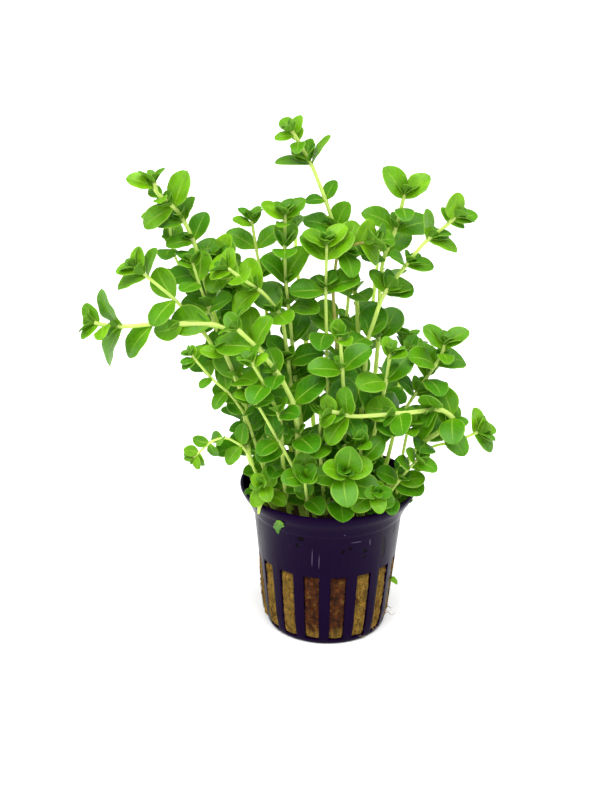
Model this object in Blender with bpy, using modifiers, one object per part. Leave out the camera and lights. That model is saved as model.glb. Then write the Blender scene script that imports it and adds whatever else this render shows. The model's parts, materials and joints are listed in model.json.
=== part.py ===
"""A bunch of tissue-cultured dwarf rotala, potted in rock wool in a small net pot.

The pot stands on the plane z = 0 with its axis on +Z, and the front of the bunch faces -Y.
The shoots' bends are in millimetres; everything else is in metres.
"""

import math
import random
from collections import namedtuple

import bmesh
import bpy
import numpy as np
from mathutils import Vector
from mathutils.bvhtree import BVHTree

MM = 0.001
GAP = 0.0003

# Net pot
POT_HEIGHT = 0.045
RIM_RADIUS = 0.026
RIM_EDGE = 0.0003
LIP_RADIUS = 0.0249
LIP_HEIGHT = 0.0032
COLLAR_HEIGHT = 0.0078
COLLAR_FOOT_RADIUS = 0.0224
COLLAR_STEP = 0.0006
BODY_TOP_RADIUS = 0.0219
BODY_FOOT_RADIUS = 0.0188
BODY_FOOT = 0.0070
CORNER_RADIUS = 0.0179
CORNER_HEIGHT = 0.0022
BASE_RADIUS = 0.0170
WALL = 0.0010
FLOOR = 0.0012
TURN_STEPS = 32
EDGE_ANGLE = math.radians(30)
COLLAR_FOOT = POT_HEIGHT - COLLAR_HEIGHT
BODY_TOP = COLLAR_FOOT - COLLAR_STEP
INNER_WALL = ((BODY_TOP, POT_HEIGHT), (BODY_TOP_RADIUS - WALL, RIM_RADIUS - WALL - RIM_EDGE))
SLOT_COUNT = 16
SLOT_TURN = math.radians(9.0)
SLOT_TOP = 0.0234
SLOT_FOOT = 0.0016
SLOT_INNER = 0.0120
SLOT_OUTER = 0.0240
SLOT_TOP_WIDTH = 0.0047
SLOT_FOOT_WIDTH = 0.0042
DRAIN_COUNT = 4
DRAIN_INNER = 0.0060
DRAIN_OUTER = 0.0135
DRAIN_WIDTH = 0.0026

# Rock wool plug
WOOL_TOP = 0.038

# Stems and leaves
STEM_TIP_SHARE = 0.62
BORE_CLEARANCE = 0.00045
FOOT_SPACING = 0.0038
STEM_SPACING = 0.0006
SETTLED = 0.00001
INTERNODE = 0.0130
LEAF_WIDTH_SHARE = 0.74
LEAF_THICKNESS = 0.0006
KEEL_PLACE = 0.52
SHOULDER_PLACE = 0.80
WAIST_PLACE = 0.33
WAIST_SHARE = 0.84
BLADE_START = 0.26
SMALL_LEAF = 0.0076
SMALL_WAIST_PLACE = 0.58
LEAF_CLEARANCE = 0.00025
LEAF_SPREAD = 62
FRONT = Vector((0.0, -1.0, 0.0))
LIGHT_HEIGHT = 0.73
LIGHT_FRONT = 0.68
LIGHT_BACK = 0.62
LIGHT_SIDE = 0.12
LIGHT_TURN_START = 0.011
LIGHT_TURN_END = 0.020
LEAN_TO_LIGHT = math.radians(26)
LIGHT_PULL = 1.8
TIP_LEAF_SHARE = 0.62
TIP_SPREAD = 46
TIP_PAIR_DROP = 0.0014
NODE_RISE = 0.0011
BUD_LENGTH = 0.0042
BUD_WIDTH = 0.0021
MISSING_SHARE = 0.08
SEED = 7
HALF_WIDTH = 0.060
SHOOT_GREEN = (0.16, 0.42, 0.05)

# A shoot is the stem's thickness, the length of a full leaf, the turn of its first pair of leaves in
# degrees, the height below which it is bare, and its foot and bends up to the tip. A turn of 0 is a
# pair in the plane that faces the front, and 90 is one leaf forward and one back. A bend may have its
# own turn and leaf length, and then its own spread in degrees, its share of the pull to the light, and
# the side of a lost leaf: 1 or -1, and 0 where both stand.
Shoot = namedtuple("Shoot", "thick leaf turn bare bends")
Bend = namedtuple("Bend", "x y z turn leaf spread pull lost", defaults=(None,) * 8)

SHOOTS = (
    # The long shoots at the left
    Shoot(1.7, 11, 30, 72, ((-12, 3, 31), (-16, 3, 46), (-25, 1, 70), (-34, 0, 98), (-38.5, -1, 117, 30, 9),
                            (-41, -1, 123, 15, 8, 60, 0.4, 0), (-43.5, -2, 127.5, 5, 11, 66, 1.3, 0),
                            (-46.5, -3, 130.5, 95, 6, 60, 1.5, 0), (-49, -3, 132.5, 0, 4, 60, 1, 1),
                            (-49.5, -3, 135.5, 5, 9, 55, 1.6, 1))),
    Shoot(1.2, 8, 10, 92, ((-10, 8, 31), (-14, 9, 46), (-28, 10, 80), (-42, 9, 104), (-45.5, 8, 112, 80, 8),
                           (-46.5, 8, 122.5, 0, 8, 65, 0.35, 1))),
    Shoot(1.2, 9, 60, 80, ((-13, -2, 31), (-17, -3, 46), (-26, -6, 74), (-34, -7, 99), (-37, -7, 107),
                           (-39, -7, 114, 20, 5))),
    Shoot(1.5, 10, 20, 60, ((-9, -4, 31), (-13, -5, 46), (-26, -7, 75), (-35, -9, 93),
                            (-43, -9, 103, 15, 10), (-50.5, -9, 109.5, 0, 9, 62, 0.5, 0),
                            (-54.5, -9, 113, 5, 7, 46, 2, 0))),
    Shoot(1.9, 12, 20, 66, ((-3, -5, 31), (-5, -6, 46), (-12, -9, 76), (-20, -12, 91), (-32, -13, 98),
                            (-40, -13, 98, 0, 9, 16, 1, -1), (-48.5, -13, 98, 0, 12, 42, 1, 1),
                            (-57, -13, 97, 0, 12, 62, 0.5, 0), (-62, -13, 97, 80, 7), (-66, -13, 98, 15, 7))),
    Shoot(1.1, 6, 40, 70, ((-15, -8, 31), (-18, -12, 50), (-24, -16, 72), (-28, -17, 79),
                           (-33, -17, 83, 60, 5), (-37, -17, 88, 20, 4.5), (-39, -17, 90.5, 30, 4))),
    Shoot(1.9, 11, 60, 58, ((-16, -5, 31), (-20, -9, 47), (-23, -14, 60), (-24, -16, 75, 10, 10),
                            (-26, -17, 82), (-30, -17, 92))),
    Shoot(1.0, 5, 25, 58, ((-11, -12, 31), (-18, -15, 48), (-24, -20, 64, 5, 6.5, 60, 1.5, 0), (-29, -21, 67.5), (-33, -21, 66.5),
                           (-36, -21, 63.5, 10, 4.5), (-38.5, -21, 61, 30, 4))),
    Shoot(1.4, 10, 40, 80, ((-11, 5, 31), (-15, 6, 48), (-22, 5, 80), (-27, 2, 101), (-30, 0, 109, 60, 9),
                            (-32, -1, 114, 10, 8))),
    # The crown
    Shoot(1.6, 10, 20, 74, ((5, 4, 31), (7, 4, 50), (8.5, 4, 78), (7, 3, 101), (4, 2, 111),
                            (1, 1, 120, 5, 9, 42, 1.5, 0), (-2, 1, 129, 20, 6), (-6, 0, 139.5, 0, 10.5, 60, 0.02, 0),
                            (-9.5, -1, 146, 80, 6), (-12, -1, 150, 15, 6, 50, 1.3, 0))),
    Shoot(1.4, 10, 55, 56, ((-4, 2, 31), (-6, 0, 48), (-10, -5, 78), (-12, -7, 100), (-13, -7, 107, 0, 12, 30, 1, 0),
                            (-13.5, -7, 117), (-13.5, -6, 124, 75, 6), (-13.5, -6, 128, 15, 8.5))),
    Shoot(1.3, 9, 30, 66, ((-8, 9, 31), (-11, 10, 48), (-17, 8, 82), (-20, 7, 104), (-21.5, 6, 113, 10, 10),
                           (-23, 6, 122.5, 20, 6))),
    Shoot(1.3, 10, 80, 58, ((0, -2, 31), (0, -3, 48), (-1, -7, 80), (-2, -9, 106), (-2, -10, 115, 5, 10, 50, 1, 0),
                            (-2, -10, 121, 20, 8))),
    Shoot(1.3, 9, 40, 60, ((4, -1, 31), (4, -3, 48), (2, -6, 84), (0, -6, 106), (1, -6, 117),
                           (6, -7, 120, 0, 8), (11, -7, 121, 60, 8))),
    # The long shoots at the right
    Shoot(1.6, 11, 50, 60, ((8, 3, 31), (10, 3, 48), (12.5, 3, 70), (13.5, 3, 87), (13.5, 3, 103),
                            (14, 3, 112), (17, 2, 120, 10, 10.5, 60, 1.5, 0), (18.5, 1.5, 127, 100, 8, 60, 1.6, 1),
                            (19.5, 1, 132, 5, 10, 40, 2.5, 0))),
    Shoot(1.6, 10, 60, 54, ((7, -3, 31), (8, -3, 48), (9.5, -3, 76), (10, -4, 90), (14, -4, 104, 5, 8),
                            (19.5, -4, 112, 15, 8, 60, 0.8, 0), (25, -5, 120, 0, 9, 50, 0.5, 0),
                            (31, -5, 125, 0, 4.5), (33.5, -5, 127.5, 20, 8, 34, 1.8, 0))),
    Shoot(1.4, 10, 20, 58, ((13, -4, 31), (16, -6, 50), (19, -9, 68), (23, -11, 76, 25, 9), (26, -11, 81),
                            (28.5, -11, 85, 30, 11, 75, 1.3, 0), (30.5, -11, 88.5, 100, 7),
                            (31.5, -11, 92.5, 5, 9, 46, 1.6, 0))),
    Shoot(1.3, 7, 30, 61.5, ((16, -1, 31), (20, -3, 48), (25, -7, 57), (31, -9, 61), (36, -10, 62, 0, 5),
                             (40, -10, 64.5, 5, 8, 62, 1, 0), (43.5, -10, 66, 10, 5))),
    Shoot(1.9, 10, 50, 56, ((14, -8, 31), (18, -9, 47), (26, -11, 62), (32, -12, 67), (35, -14, 71),
                            (31, -16, 75, 170, 10), (20, -20, 75), (6, -23, 75), (0, -24, 77, 20, 6))),
    Shoot(1.2, 8, 15, 46, ((12, -10, 31), (16, -14, 46), (19, -17, 52), (22, -19, 57.5, 30, 7),
                           (24.5, -20, 61, 0, 6.5))),
    # The short ones that lean out over the front of the rim
    Shoot(1.5, 11, 5, 46, ((2, -12, 31), (3, -17, 46), (4, -22, 54), (4, -25, 58, 95, 11),
                           (4, -27, 60, 5, 9))),
    Shoot(1.3, 9, 30, 46, ((-5, -13, 31), (-6, -17, 46), (-7, -21, 54, 70, 9), (-7, -24, 57, 20, 8))),
    Shoot(1.3, 9, 60, 46, ((8, -12, 31), (10, -17, 46), (12, -21, 51, 60, 8), (13, -25, 53, 120, 7))),
    Shoot(1.2, 7, 20, 46, ((-15, -10, 31), (-17, -14, 46), (-18, -18, 51, 20, 7, 60, 0.5),
                           (-19, -21, 53, 80, 6))),
    # The front of the bunch
    Shoot(1.9, 11, 50, 54, ((-7, -9, 31), (-9, -14, 47), (-9, -19, 66), (-10, -21, 77, 0, 11),
                            (-14, -22, 86, 75, 8), (-20, -22, 94), (-26, -22, 100))),
    Shoot(1.4, 9, 70, 62, ((-10, -10, 31), (-13, -16, 52), (-14, -22, 74), (-18, -25, 84), (-22, -26, 92))),
    Shoot(1.2, 8, 45, 56, ((-2, -10, 31), (-7, -17, 50), (-14, -22, 66), (-20, -24, 78),
                           (-22, -24, 82, 20, 6))),
    Shoot(1.5, 11, 20, 50, ((3, -7, 31), (4, -11, 50), (4, -17, 72), (3, -19, 86), (2, -21, 98))),
    Shoot(1.5, 11, 40, 50, ((8, -6, 31), (10, -10, 50), (13, -15, 70), (15, -17, 82), (16, -18, 92))),
    Shoot(1.5, 11, 15, 70, ((-7, -1, 31), (-9, -3, 50), (-12, -9, 84), (-14, -11, 100), (-19, -12, 107),
                            (-25, -12, 111), (-29, -12, 114))),
    Shoot(1.3, 10, 30, 48, ((7, -13, 31), (8, -18, 48), (9, -22, 60), (8, -24, 68))),
    Shoot(1.3, 10, 60, 48, ((-1, -6, 31), (-2, -12, 50), (-3, -18, 64), (-3, -21, 76))),
    Shoot(1.3, 10, 10, 48, ((16, -5, 31), (19, -10, 50), (21, -14, 62), (22, -16, 70))),
    # The back of the bunch
    Shoot(1.6, 11, 25, 66, ((-12, 12, 31), (-16, 16, 50), (-22, 22, 74), (-27, 25, 90), (-29, 27, 102))),
    Shoot(1.3, 10, 50, 52, ((-16, 6, 31), (-20, 9, 48), (-27, 14, 66), (-31, 17, 78))),
    Shoot(1.6, 11, 10, 68, ((-3, 14, 31), (-4, 18, 50), (-7, 25, 78), (-10, 29, 100), (-11, 30, 114))),
    Shoot(1.6, 11, 70, 68, ((5, 13, 31), (7, 17, 50), (11, 23, 76), (13, 26, 96), (14, 28, 108))),
    Shoot(1.5, 11, 30, 50, ((11, 10, 31), (15, 13, 50), (19, 17, 66), (22, 19, 77), (23, 20, 82))),
    Shoot(1.4, 10, 20, 68, ((1, 9, 31), (1, 11, 50), (3, 13, 76), (5, 15, 96), (5, 16, 110))),
    Shoot(1.4, 11, 35, 52, ((12, 3, 31), (15, 4, 50), (18, 5, 66), (21, 5, 77), (22, 4, 84))),
)


def clear_scene():
    """Remove whatever the file starts with."""
    for thing in list(bpy.data.objects):
        bpy.data.objects.remove(thing, do_unlink=True)


def new_collection(name):
    """Make a collection of the scene."""
    group = bpy.data.collections.new(name)
    bpy.context.scene.collection.children.link(group)
    return group


def new_material(name, colour, roughness, metallic=0.0):
    """Make a plain Principled material."""
    material = bpy.data.materials.new(name)
    material.use_nodes = True
    shader = material.node_tree.nodes["Principled BSDF"]
    shader.inputs["Base Color"].default_value = (*colour, 1.0)
    shader.inputs["Roughness"].default_value = roughness
    shader.inputs["Metallic"].default_value = metallic
    return material


def mesh_object(name, mesh, group, material=None):
    """Put a mesh in the scene as a named object."""
    thing = bpy.data.objects.new(name, mesh)
    group.objects.link(thing)
    if material is not None:
        mesh.materials.clear()
        mesh.materials.append(material)
    return thing


def bmesh_object(name, bm, group, material=None):
    """Turn a bmesh into a named object."""
    bmesh.ops.recalc_face_normals(bm, faces=bm.faces)
    mesh = bpy.data.meshes.new(name)
    bm.to_mesh(mesh)
    bm.free()
    return mesh_object(name, mesh, group, material)


def hide_cutter(thing):
    """Keep a cutter out of the render."""
    thing.hide_render = True
    thing.display_type = "WIRE"


def bake(thing):
    """Give an object the mesh that its modifiers make, and drop the modifiers."""
    depsgraph = bpy.context.evaluated_depsgraph_get()
    mesh = bpy.data.meshes.new_from_object(thing.evaluated_get(depsgraph))
    thing.modifiers.clear()
    thing.data = mesh


def cut(thing, cutter):
    """Take a cutter's shape out of an object."""
    modifier = thing.modifiers.new(cutter.name, "BOOLEAN")
    modifier.operation = "DIFFERENCE"
    modifier.solver = "EXACT"
    modifier.object = cutter


def turned(name, profile, group, material):
    """A profile of (radius, height) turned about Z, with a Screw modifier."""
    bm = bmesh.new()
    verts = [bm.verts.new((radius, 0.0, height)) for radius, height in profile]
    for first, second in zip(verts, verts[1:]):
        bm.edges.new((first, second))
    mesh = bpy.data.meshes.new(name)
    bm.to_mesh(mesh)
    bm.free()
    thing = mesh_object(name, mesh, group, material)
    screw = thing.modifiers.new("turned", "SCREW")
    screw.axis = "Z"
    screw.steps = TURN_STEPS
    screw.render_steps = TURN_STEPS
    screw.use_merge_vertices = True
    screw.merge_threshold = 0.00002
    return thing


def shade_round(thing):
    """Shade a turned piece smooth, with its edges kept sharp."""
    thing.data.shade_smooth()
    thing.data.set_sharp_from_angle(angle=EDGE_ANGLE)


def slot_cutter(group, turn):
    """A wedge of the slot's width that passes through the wall at one turn about the axis."""
    bm = bmesh.new()
    bmesh.ops.create_cube(bm, size=1.0)
    for vert in bm.verts:
        top = vert.co.z > 0
        x = SLOT_OUTER if vert.co.x > 0 else SLOT_INNER
        y = vert.co.y * (SLOT_TOP_WIDTH if top else SLOT_FOOT_WIDTH)
        vert.co = Vector((x, y, SLOT_TOP if top else SLOT_FOOT))
    cutter = bmesh_object("slot_cutter", bm, group)
    cutter.rotation_euler.z = turn
    hide_cutter(cutter)
    return cutter


def drain_cutter(group, turn):
    """A box for one slit in the pot's floor."""
    bm = bmesh.new()
    bmesh.ops.create_cube(bm, size=1.0)
    for vert in bm.verts:
        x = DRAIN_OUTER if vert.co.x > 0 else DRAIN_INNER
        vert.co = Vector((x, DRAIN_WIDTH * vert.co.y, 3 * FLOOR * vert.co.z + 0.5 * FLOOR))
    cutter = bmesh_object("drain_cutter", bm, group)
    cutter.rotation_euler.z = turn
    hide_cutter(cutter)
    return cutter


def make_pot(group, cutters):
    """The net pot: a turned cup with a flared collar, wall slots and floor slits."""
    inner = (
        (0.0, FLOOR),
        (CORNER_RADIUS - WALL, FLOOR),
        (BODY_FOOT_RADIUS - WALL, BODY_FOOT),
        (BODY_TOP_RADIUS - WALL, BODY_TOP),
        (RIM_RADIUS - WALL - RIM_EDGE, POT_HEIGHT),
    )
    outer = (
        (RIM_RADIUS - RIM_EDGE, POT_HEIGHT),
        (RIM_RADIUS, POT_HEIGHT - RIM_EDGE),
        (LIP_RADIUS, POT_HEIGHT - LIP_HEIGHT),
        (COLLAR_FOOT_RADIUS, COLLAR_FOOT),
        (BODY_TOP_RADIUS, BODY_TOP),
        (BODY_FOOT_RADIUS, BODY_FOOT),
        (CORNER_RADIUS, CORNER_HEIGHT),
        (BASE_RADIUS, 0.0),
        (0.0, 0.0),
    )
    material = new_material("pot_plastic", (0.030, 0.018, 0.055), 0.32)
    pot = turned("net_pot", inner + outer, group, material)
    for index in range(SLOT_COUNT):
        cut(pot, slot_cutter(cutters, SLOT_TURN + index * math.tau / SLOT_COUNT))
    for index in range(DRAIN_COUNT):
        cut(pot, drain_cutter(cutters, index * math.tau / DRAIN_COUNT))
    bake(pot)
    shade_round(pot)
    return pot


def make_wool(group, stems):
    """The rock wool plug, bored where each stem stands in it."""
    foot = FLOOR + GAP
    inset = WALL + GAP
    profile = (
        (0.0, WOOL_TOP),
        (BODY_TOP_RADIUS - inset, WOOL_TOP),
        (BODY_FOOT_RADIUS - inset, BODY_FOOT),
        (CORNER_RADIUS - inset, foot),
        (0.0, foot),
    )
    wool = turned("rock_wool", profile, group, new_material("rock_wool", (0.30, 0.20, 0.09), 0.95))
    bores = new_collection("bores")
    for stem in stems:
        bottom, above = stem.points[0], stem.points[1]
        along = (above - bottom).normalized()
        start = bottom - along * 2 * GAP
        end = start + along * ((WOOL_TOP + 0.001 - start.z) / along.z)
        radius = stem.radii[0] + BORE_CLEARANCE
        bore = mesh_object("bore", stem_mesh("bore", (start, end), (radius, radius), bores), bores)
        hide_cutter(bore)
    modifier = wool.modifiers.new("bores", "BOOLEAN")
    modifier.operation = "DIFFERENCE"
    modifier.solver = "EXACT"
    modifier.operand_type = "COLLECTION"
    modifier.collection = bores
    bake(wool)
    shade_round(wool)
    return wool


class Stem:
    """One shoot's bends after they are nudged clear, with its radius at each."""

    def __init__(self, name, shoot, points):
        self.shoot = shoot
        self.name = name
        self.points = [Vector(point) for point in points]
        lengths = [0.0]
        for first, second in zip(self.points, self.points[1:]):
            lengths.append(lengths[-1] + (second - first).length)
        self.lengths = lengths
        foot = 0.5 * shoot.thick * MM
        self.radii = [foot * (1.0 - (1.0 - STEM_TIP_SHARE) * s / lengths[-1]) for s in lengths]


def nudged_points(shoots):
    """Every shoot's bends in metres, pushed apart until no two stems touch."""
    counts = [len(shoot.bends) for shoot in shoots]
    starts = np.concatenate(([0], np.cumsum(counts)))
    bends = np.array([bend[:3] for shoot in shoots for bend in shoot.bends], float) * MM
    rows = []
    owner = []
    radius = []
    for index, shoot in enumerate(shoots):
        first = starts[index]
        for place in range(counts[index] - 1):
            span = np.linalg.norm(bends[first + place + 1] - bends[first + place])
            steps = max(2, int(round(span / 0.0025)))
            for step in range(steps):
                row = np.zeros(len(bends))
                row[first + place] = 1.0 - step / steps
                row[first + place + 1] = step / steps
                rows.append(row)
                owner.append(index)
                radius.append(0.5 * shoot.thick * MM)
    weights = np.array(rows)
    owner = np.array(owner)
    radius = np.array(radius)
    want = radius[:, None] + radius[None, :] + STEM_SPACING
    in_wool = np.zeros(len(owner), bool)
    in_wool[(weights @ bends)[:, 2] < WOOL_TOP + 0.002] = True
    want[np.ix_(in_wool, in_wool)] = FOOT_SPACING
    other = owner[:, None] != owner[None, :]
    share = weights.sum(axis=0)
    for _ in range(60):
        samples = weights @ bends
        apart = samples[:, None, :] - samples[None, :, :]
        apart[:, :, 2] *= 0.5
        far = np.linalg.norm(apart, axis=2) + 1e-9
        short = np.where(other & (far < want), want - far, 0.0)
        out = np.hypot(samples[:, 0], samples[:, 1])
        inside = np.interp(samples[:, 2], *INNER_WALL) - radius - STEM_SPACING
        past = np.where((samples[:, 2] < POT_HEIGHT + STEM_SPACING) & (out > inside), out - inside, 0.0)
        if max(short.max(), past.max()) < SETTLED:
            break
        push = 0.5 * (apart / far[:, :, None] * short[:, :, None]).sum(axis=1)
        push -= samples * (past / out)[:, None]
        push[:, 2] = 0.0
        bends = bends + (weights.T @ push) / share[:, None] * 1.6
    return [bends[starts[i]:starts[i + 1]] for i in range(len(shoots))]


class Leaf:
    """A leaf blade: where it leaves the stem, its midrib, its face and its size."""

    def __init__(self, base, along, face, length):
        self.base = base
        self.along = along
        self.face = face
        self.length = length
        self.width = length * LEAF_WIDTH_SHARE


def leaf_solid(leaf, grow=0.0, foot=0.0):
    """A low pyramid drawn out to the leaf's outline, with its keel on the under side.

    A full leaf has six sides, narrow at its foot and broad past its middle, and a small one has four.
    """
    small = leaf.length < SMALL_LEAF
    bm = bmesh.new()
    sides = 4 if small else 6
    bmesh.ops.create_cone(bm, cap_ends=True, segments=sides, radius1=1.0, radius2=0.0, depth=1.0)
    across = leaf.face.cross(leaf.along).normalized()
    for vert in bm.verts:
        a, b, c = vert.co
        side = 0.0 if abs(a) < 0.1 else math.copysign(1.0, a)
        if c > 0.0:
            along, out, up = KEEL_PLACE, 0.0, -LEAF_THICKNESS
        elif side == 0.0:
            along, out, up = (1.0 if b > 0 else foot), 0.0, 0.0
        elif small:
            along, out, up = SMALL_WAIST_PLACE, 0.5 * side, 0.0
        else:
            along = SHOULDER_PLACE if b > 0 else WAIST_PLACE
            out = side * (0.5 if b > 0 else 0.5 * WAIST_SHARE)
            up = 0.0
        place = along * leaf.length + (grow if along > 0.5 else 0.0)
        spread = out * leaf.width + side * grow
        lift = up + math.copysign(grow, up + 0.0001)
        vert.co = leaf.base + leaf.along * place + across * spread + leaf.face * lift
    bmesh.ops.recalc_face_normals(bm, faces=bm.faces)
    return bm


def side_of(way, turn):
    """The direction across a stem, turned about it from the plane that faces the front."""
    level = way.cross(FRONT).normalized()
    return level * math.cos(turn) + way.cross(level) * math.sin(turn)


def light_at(point):
    """Where a leaf's face turns: up and outwards, to the front over most of the bunch."""
    turn = np.interp(point.y, (LIGHT_TURN_START, LIGHT_TURN_END), (-LIGHT_FRONT, LIGHT_BACK))
    side = LIGHT_SIDE * max(-1.0, min(1.0, point.x / HALF_WIDTH))
    return Vector((side, turn, LIGHT_HEIGHT))


def blade(point, stem_way, side_way, spread, length, radius, pull):
    """A leaf that leaves the stem sideways and turns its face to the light."""
    along = (side_way * math.sin(spread) + stem_way * math.cos(spread)).normalized()
    face = stem_way * math.sin(spread) - side_way * math.cos(spread)
    face = face.normalized() + light_at(point) * LIGHT_PULL * pull
    face = (face - along * face.dot(along)).normalized()
    return Leaf(point + along * 0.15 * radius, along, face, length)


Node = namedtuple("Node", "point way side radius length spread pull lost")


def leaf_nodes(stem):
    """The nodes up one stem where a pair of leaves grows, the tip first."""
    shoot = stem.shoot
    last = len(stem.points) - 1
    turn = shoot.turn
    nodes = []
    for index in range(1, last + 1):
        tip = index == last
        start = stem.points[index]
        way = (stem.points[min(index + 1, last)] - stem.points[min(index, last - 1)]).normalized()
        steps = 1
        if index < last:
            steps = max(1, int(round((stem.points[index + 1] - start).length / INTERNODE)))
        for step in range(steps):
            own = Bend(*shoot.bends[index]) if step == 0 else Bend()
            turn = turn + 90 if own.turn is None else own.turn
            point = start if tip else start.lerp(stem.points[index + 1], step / steps)
            if point.z < shoot.bare * MM:
                continue
            length = own.leaf or shoot.leaf * (TIP_LEAF_SHARE if tip else 1.0)
            spread = own.spread or (TIP_SPREAD if tip else LEAF_SPREAD)
            side = side_of(way, math.radians(turn))
            point = point + way * (-TIP_PAIR_DROP if tip else NODE_RISE)
            nodes.append(Node(point, way, side, stem.radii[index], length * MM, math.radians(spread),
                              own.pull or 1.0, own.lost))
    return nodes[::-1]


def bud_solid(stem):
    """The closed bud at a shoot's tip, a pointed six-sided drop."""
    way = (stem.points[-1] - stem.points[-2]).normalized()
    turn = way.to_track_quat("Z", "Y")
    bm = bmesh.new()
    bmesh.ops.create_uvsphere(bm, u_segments=6, v_segments=2, radius=1.0)
    for vert in bm.verts:
        a, b, c = vert.co
        height = BUD_LENGTH * (0.62 if c > 0.5 else -0.38 if c < -0.5 else -0.05)
        vert.co = stem.points[-1] + turn @ Vector((0.5 * BUD_WIDTH * a, 0.5 * BUD_WIDTH * b, height))
    bmesh.ops.recalc_face_normals(bm, faces=bm.faces)
    return bm


def bounds_of(bm):
    """The lowest and highest corner of a bmesh."""
    corners = np.array([vert.co for vert in bm.verts])
    return corners.min(axis=0), corners.max(axis=0)


class Space:
    """What is already there: solids of the pot, the wool, the stems and the leaves placed so far."""

    def __init__(self):
        self.trees = []
        self.lows = []
        self.highs = []
        self.owners = []

    def add(self, bm, owner):
        """Remember one solid and whose it is."""
        low, high = bounds_of(bm)
        self.trees.append(BVHTree.FromBMesh(bm))
        self.lows.append(low)
        self.highs.append(high)
        self.owners.append(owner)

    def meets(self, bm, owner, own):
        """Whether a solid meets one of the owner's solids, or, if not own, anyone else's."""
        if not self.trees:
            return False
        low, high = bounds_of(bm)
        near = np.all(np.array(self.lows) <= high, axis=1) & np.all(np.array(self.highs) >= low, axis=1)
        tree = BVHTree.FromBMesh(bm)
        for index in np.nonzero(near)[0]:
            if (self.owners[index] == owner) == own and tree.overlap(self.trees[index]):
                return True
        return False


def alternatives(node, sign, length, spread):
    """The ways a leaf may stand, best first: as it grows, lifted, lowered, turned, then smaller."""
    for scale in (1.0, 0.82, 0.66):
        for lift in (0.0, 18.0, -16.0, 32.0):
            for turn in (0.0, 24.0, -24.0):
                angle = math.radians(turn)
                side = node.side * sign
                side = side * math.cos(angle) + node.way.cross(side) * math.sin(angle)
                out = FRONT if node.point.y < LIGHT_TURN_START else -FRONT
                lean = spread + LEAN_TO_LIGHT * side.dot(out) - math.radians(lift)
                yield blade(node.point, node.way, side, lean, length * scale, node.radius, node.pull)


def place_leaf(space, blades, owner, node, sign, length, spread):
    """Find the first free way for a leaf to stand, or None.

    It stays clear of every other shoot, and its blade of the other blades on its own shoot.
    """
    for leaf in alternatives(node, sign, length, spread):
        solid = leaf_solid(leaf, LEAF_CLEARANCE)
        taken = space.meets(solid, owner, False)
        solid.free()
        if taken:
            continue
        solid = leaf_solid(leaf, LEAF_CLEARANCE, BLADE_START)
        taken = blades.meets(solid, owner, True)
        solid.free()
        if taken:
            continue
        for store, foot in ((space, 0.0), (blades, BLADE_START)):
            solid = leaf_solid(leaf, 0.0, foot)
            store.add(solid, owner)
            solid.free()
        return leaf
    return None


def stem_mesh(name, points, radii, group):
    """A four-angled stem along its bends, as a closed mesh made from a curve."""
    curve = bpy.data.curves.new(name, "CURVE")
    curve.dimensions = "3D"
    curve.bevel_depth = 1.0
    curve.bevel_resolution = 0
    curve.use_fill_caps = True
    spline = curve.splines.new("POLY")
    spline.points.add(len(points) - 1)
    for spot, point, radius in zip(spline.points, points, radii):
        spot.co = (*point, 1.0)
        spot.radius = radius
    soft = bpy.data.objects.new(name, curve)
    group.objects.link(soft)
    depsgraph = bpy.context.evaluated_depsgraph_get()
    mesh = bpy.data.meshes.new_from_object(soft.evaluated_get(depsgraph))
    bpy.data.objects.remove(soft, do_unlink=True)
    bm = bmesh.new()
    bm.from_mesh(mesh)
    bmesh.ops.remove_doubles(bm, verts=bm.verts, dist=0.00001)
    bmesh.ops.recalc_face_normals(bm, faces=bm.faces)
    bm.to_mesh(mesh)
    bm.free()
    return mesh


def plan_leaves(stems, meshes, pot, wool):
    """Give every stem its leaves, none of them touching another shoot."""
    space = Space()
    for thing in (pot, wool):
        depsgraph = bpy.context.evaluated_depsgraph_get()
        bm = bmesh.new()
        bm.from_object(thing, depsgraph)
        space.add(bm, thing.name)
        bm.free()
    for stem, mesh in zip(stems, meshes):
        bm = bmesh.new()
        bm.from_mesh(mesh)
        space.add(bm, stem.name)
        bm.free()
        bud = bud_solid(stem)
        space.add(bud, stem.name)
        bud.free()
    blades = Space()
    chance = random.Random(SEED)
    plans = []
    for stem in stems:
        leaves = []
        for node in leaf_nodes(stem):
            for sign in (1.0, -1.0):
                length = node.length * chance.uniform(0.90, 1.06)
                spread = node.spread + math.radians(chance.uniform(-8.0, 8.0))
                missing = chance.random() < MISSING_SHARE and node.lost is None or sign == node.lost
                if not missing:
                    leaves.append(place_leaf(space, blades, stem.name, node, sign, length, spread))
        plans.append([leaf for leaf in leaves if leaf is not None])
    return plans


def make_shoot(stem, mesh, leaves, group, material):
    """One stem with its leaves and its bud fused to it."""
    thing = mesh_object(stem.name, mesh, group, material)
    parts = new_collection("parts_of_shoot")
    solids = [leaf_solid(leaf) for leaf in leaves] + [bud_solid(stem)]
    for solid in solids:
        hide_cutter(bmesh_object("piece", solid, parts))
    union = thing.modifiers.new("grown", "BOOLEAN")
    union.operation = "UNION"
    union.solver = "EXACT"
    union.operand_type = "COLLECTION"
    union.collection = parts
    bake(thing)
    for piece in list(parts.objects):
        bpy.data.objects.remove(piece, do_unlink=True)
    bpy.data.collections.remove(parts)
    return thing


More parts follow.
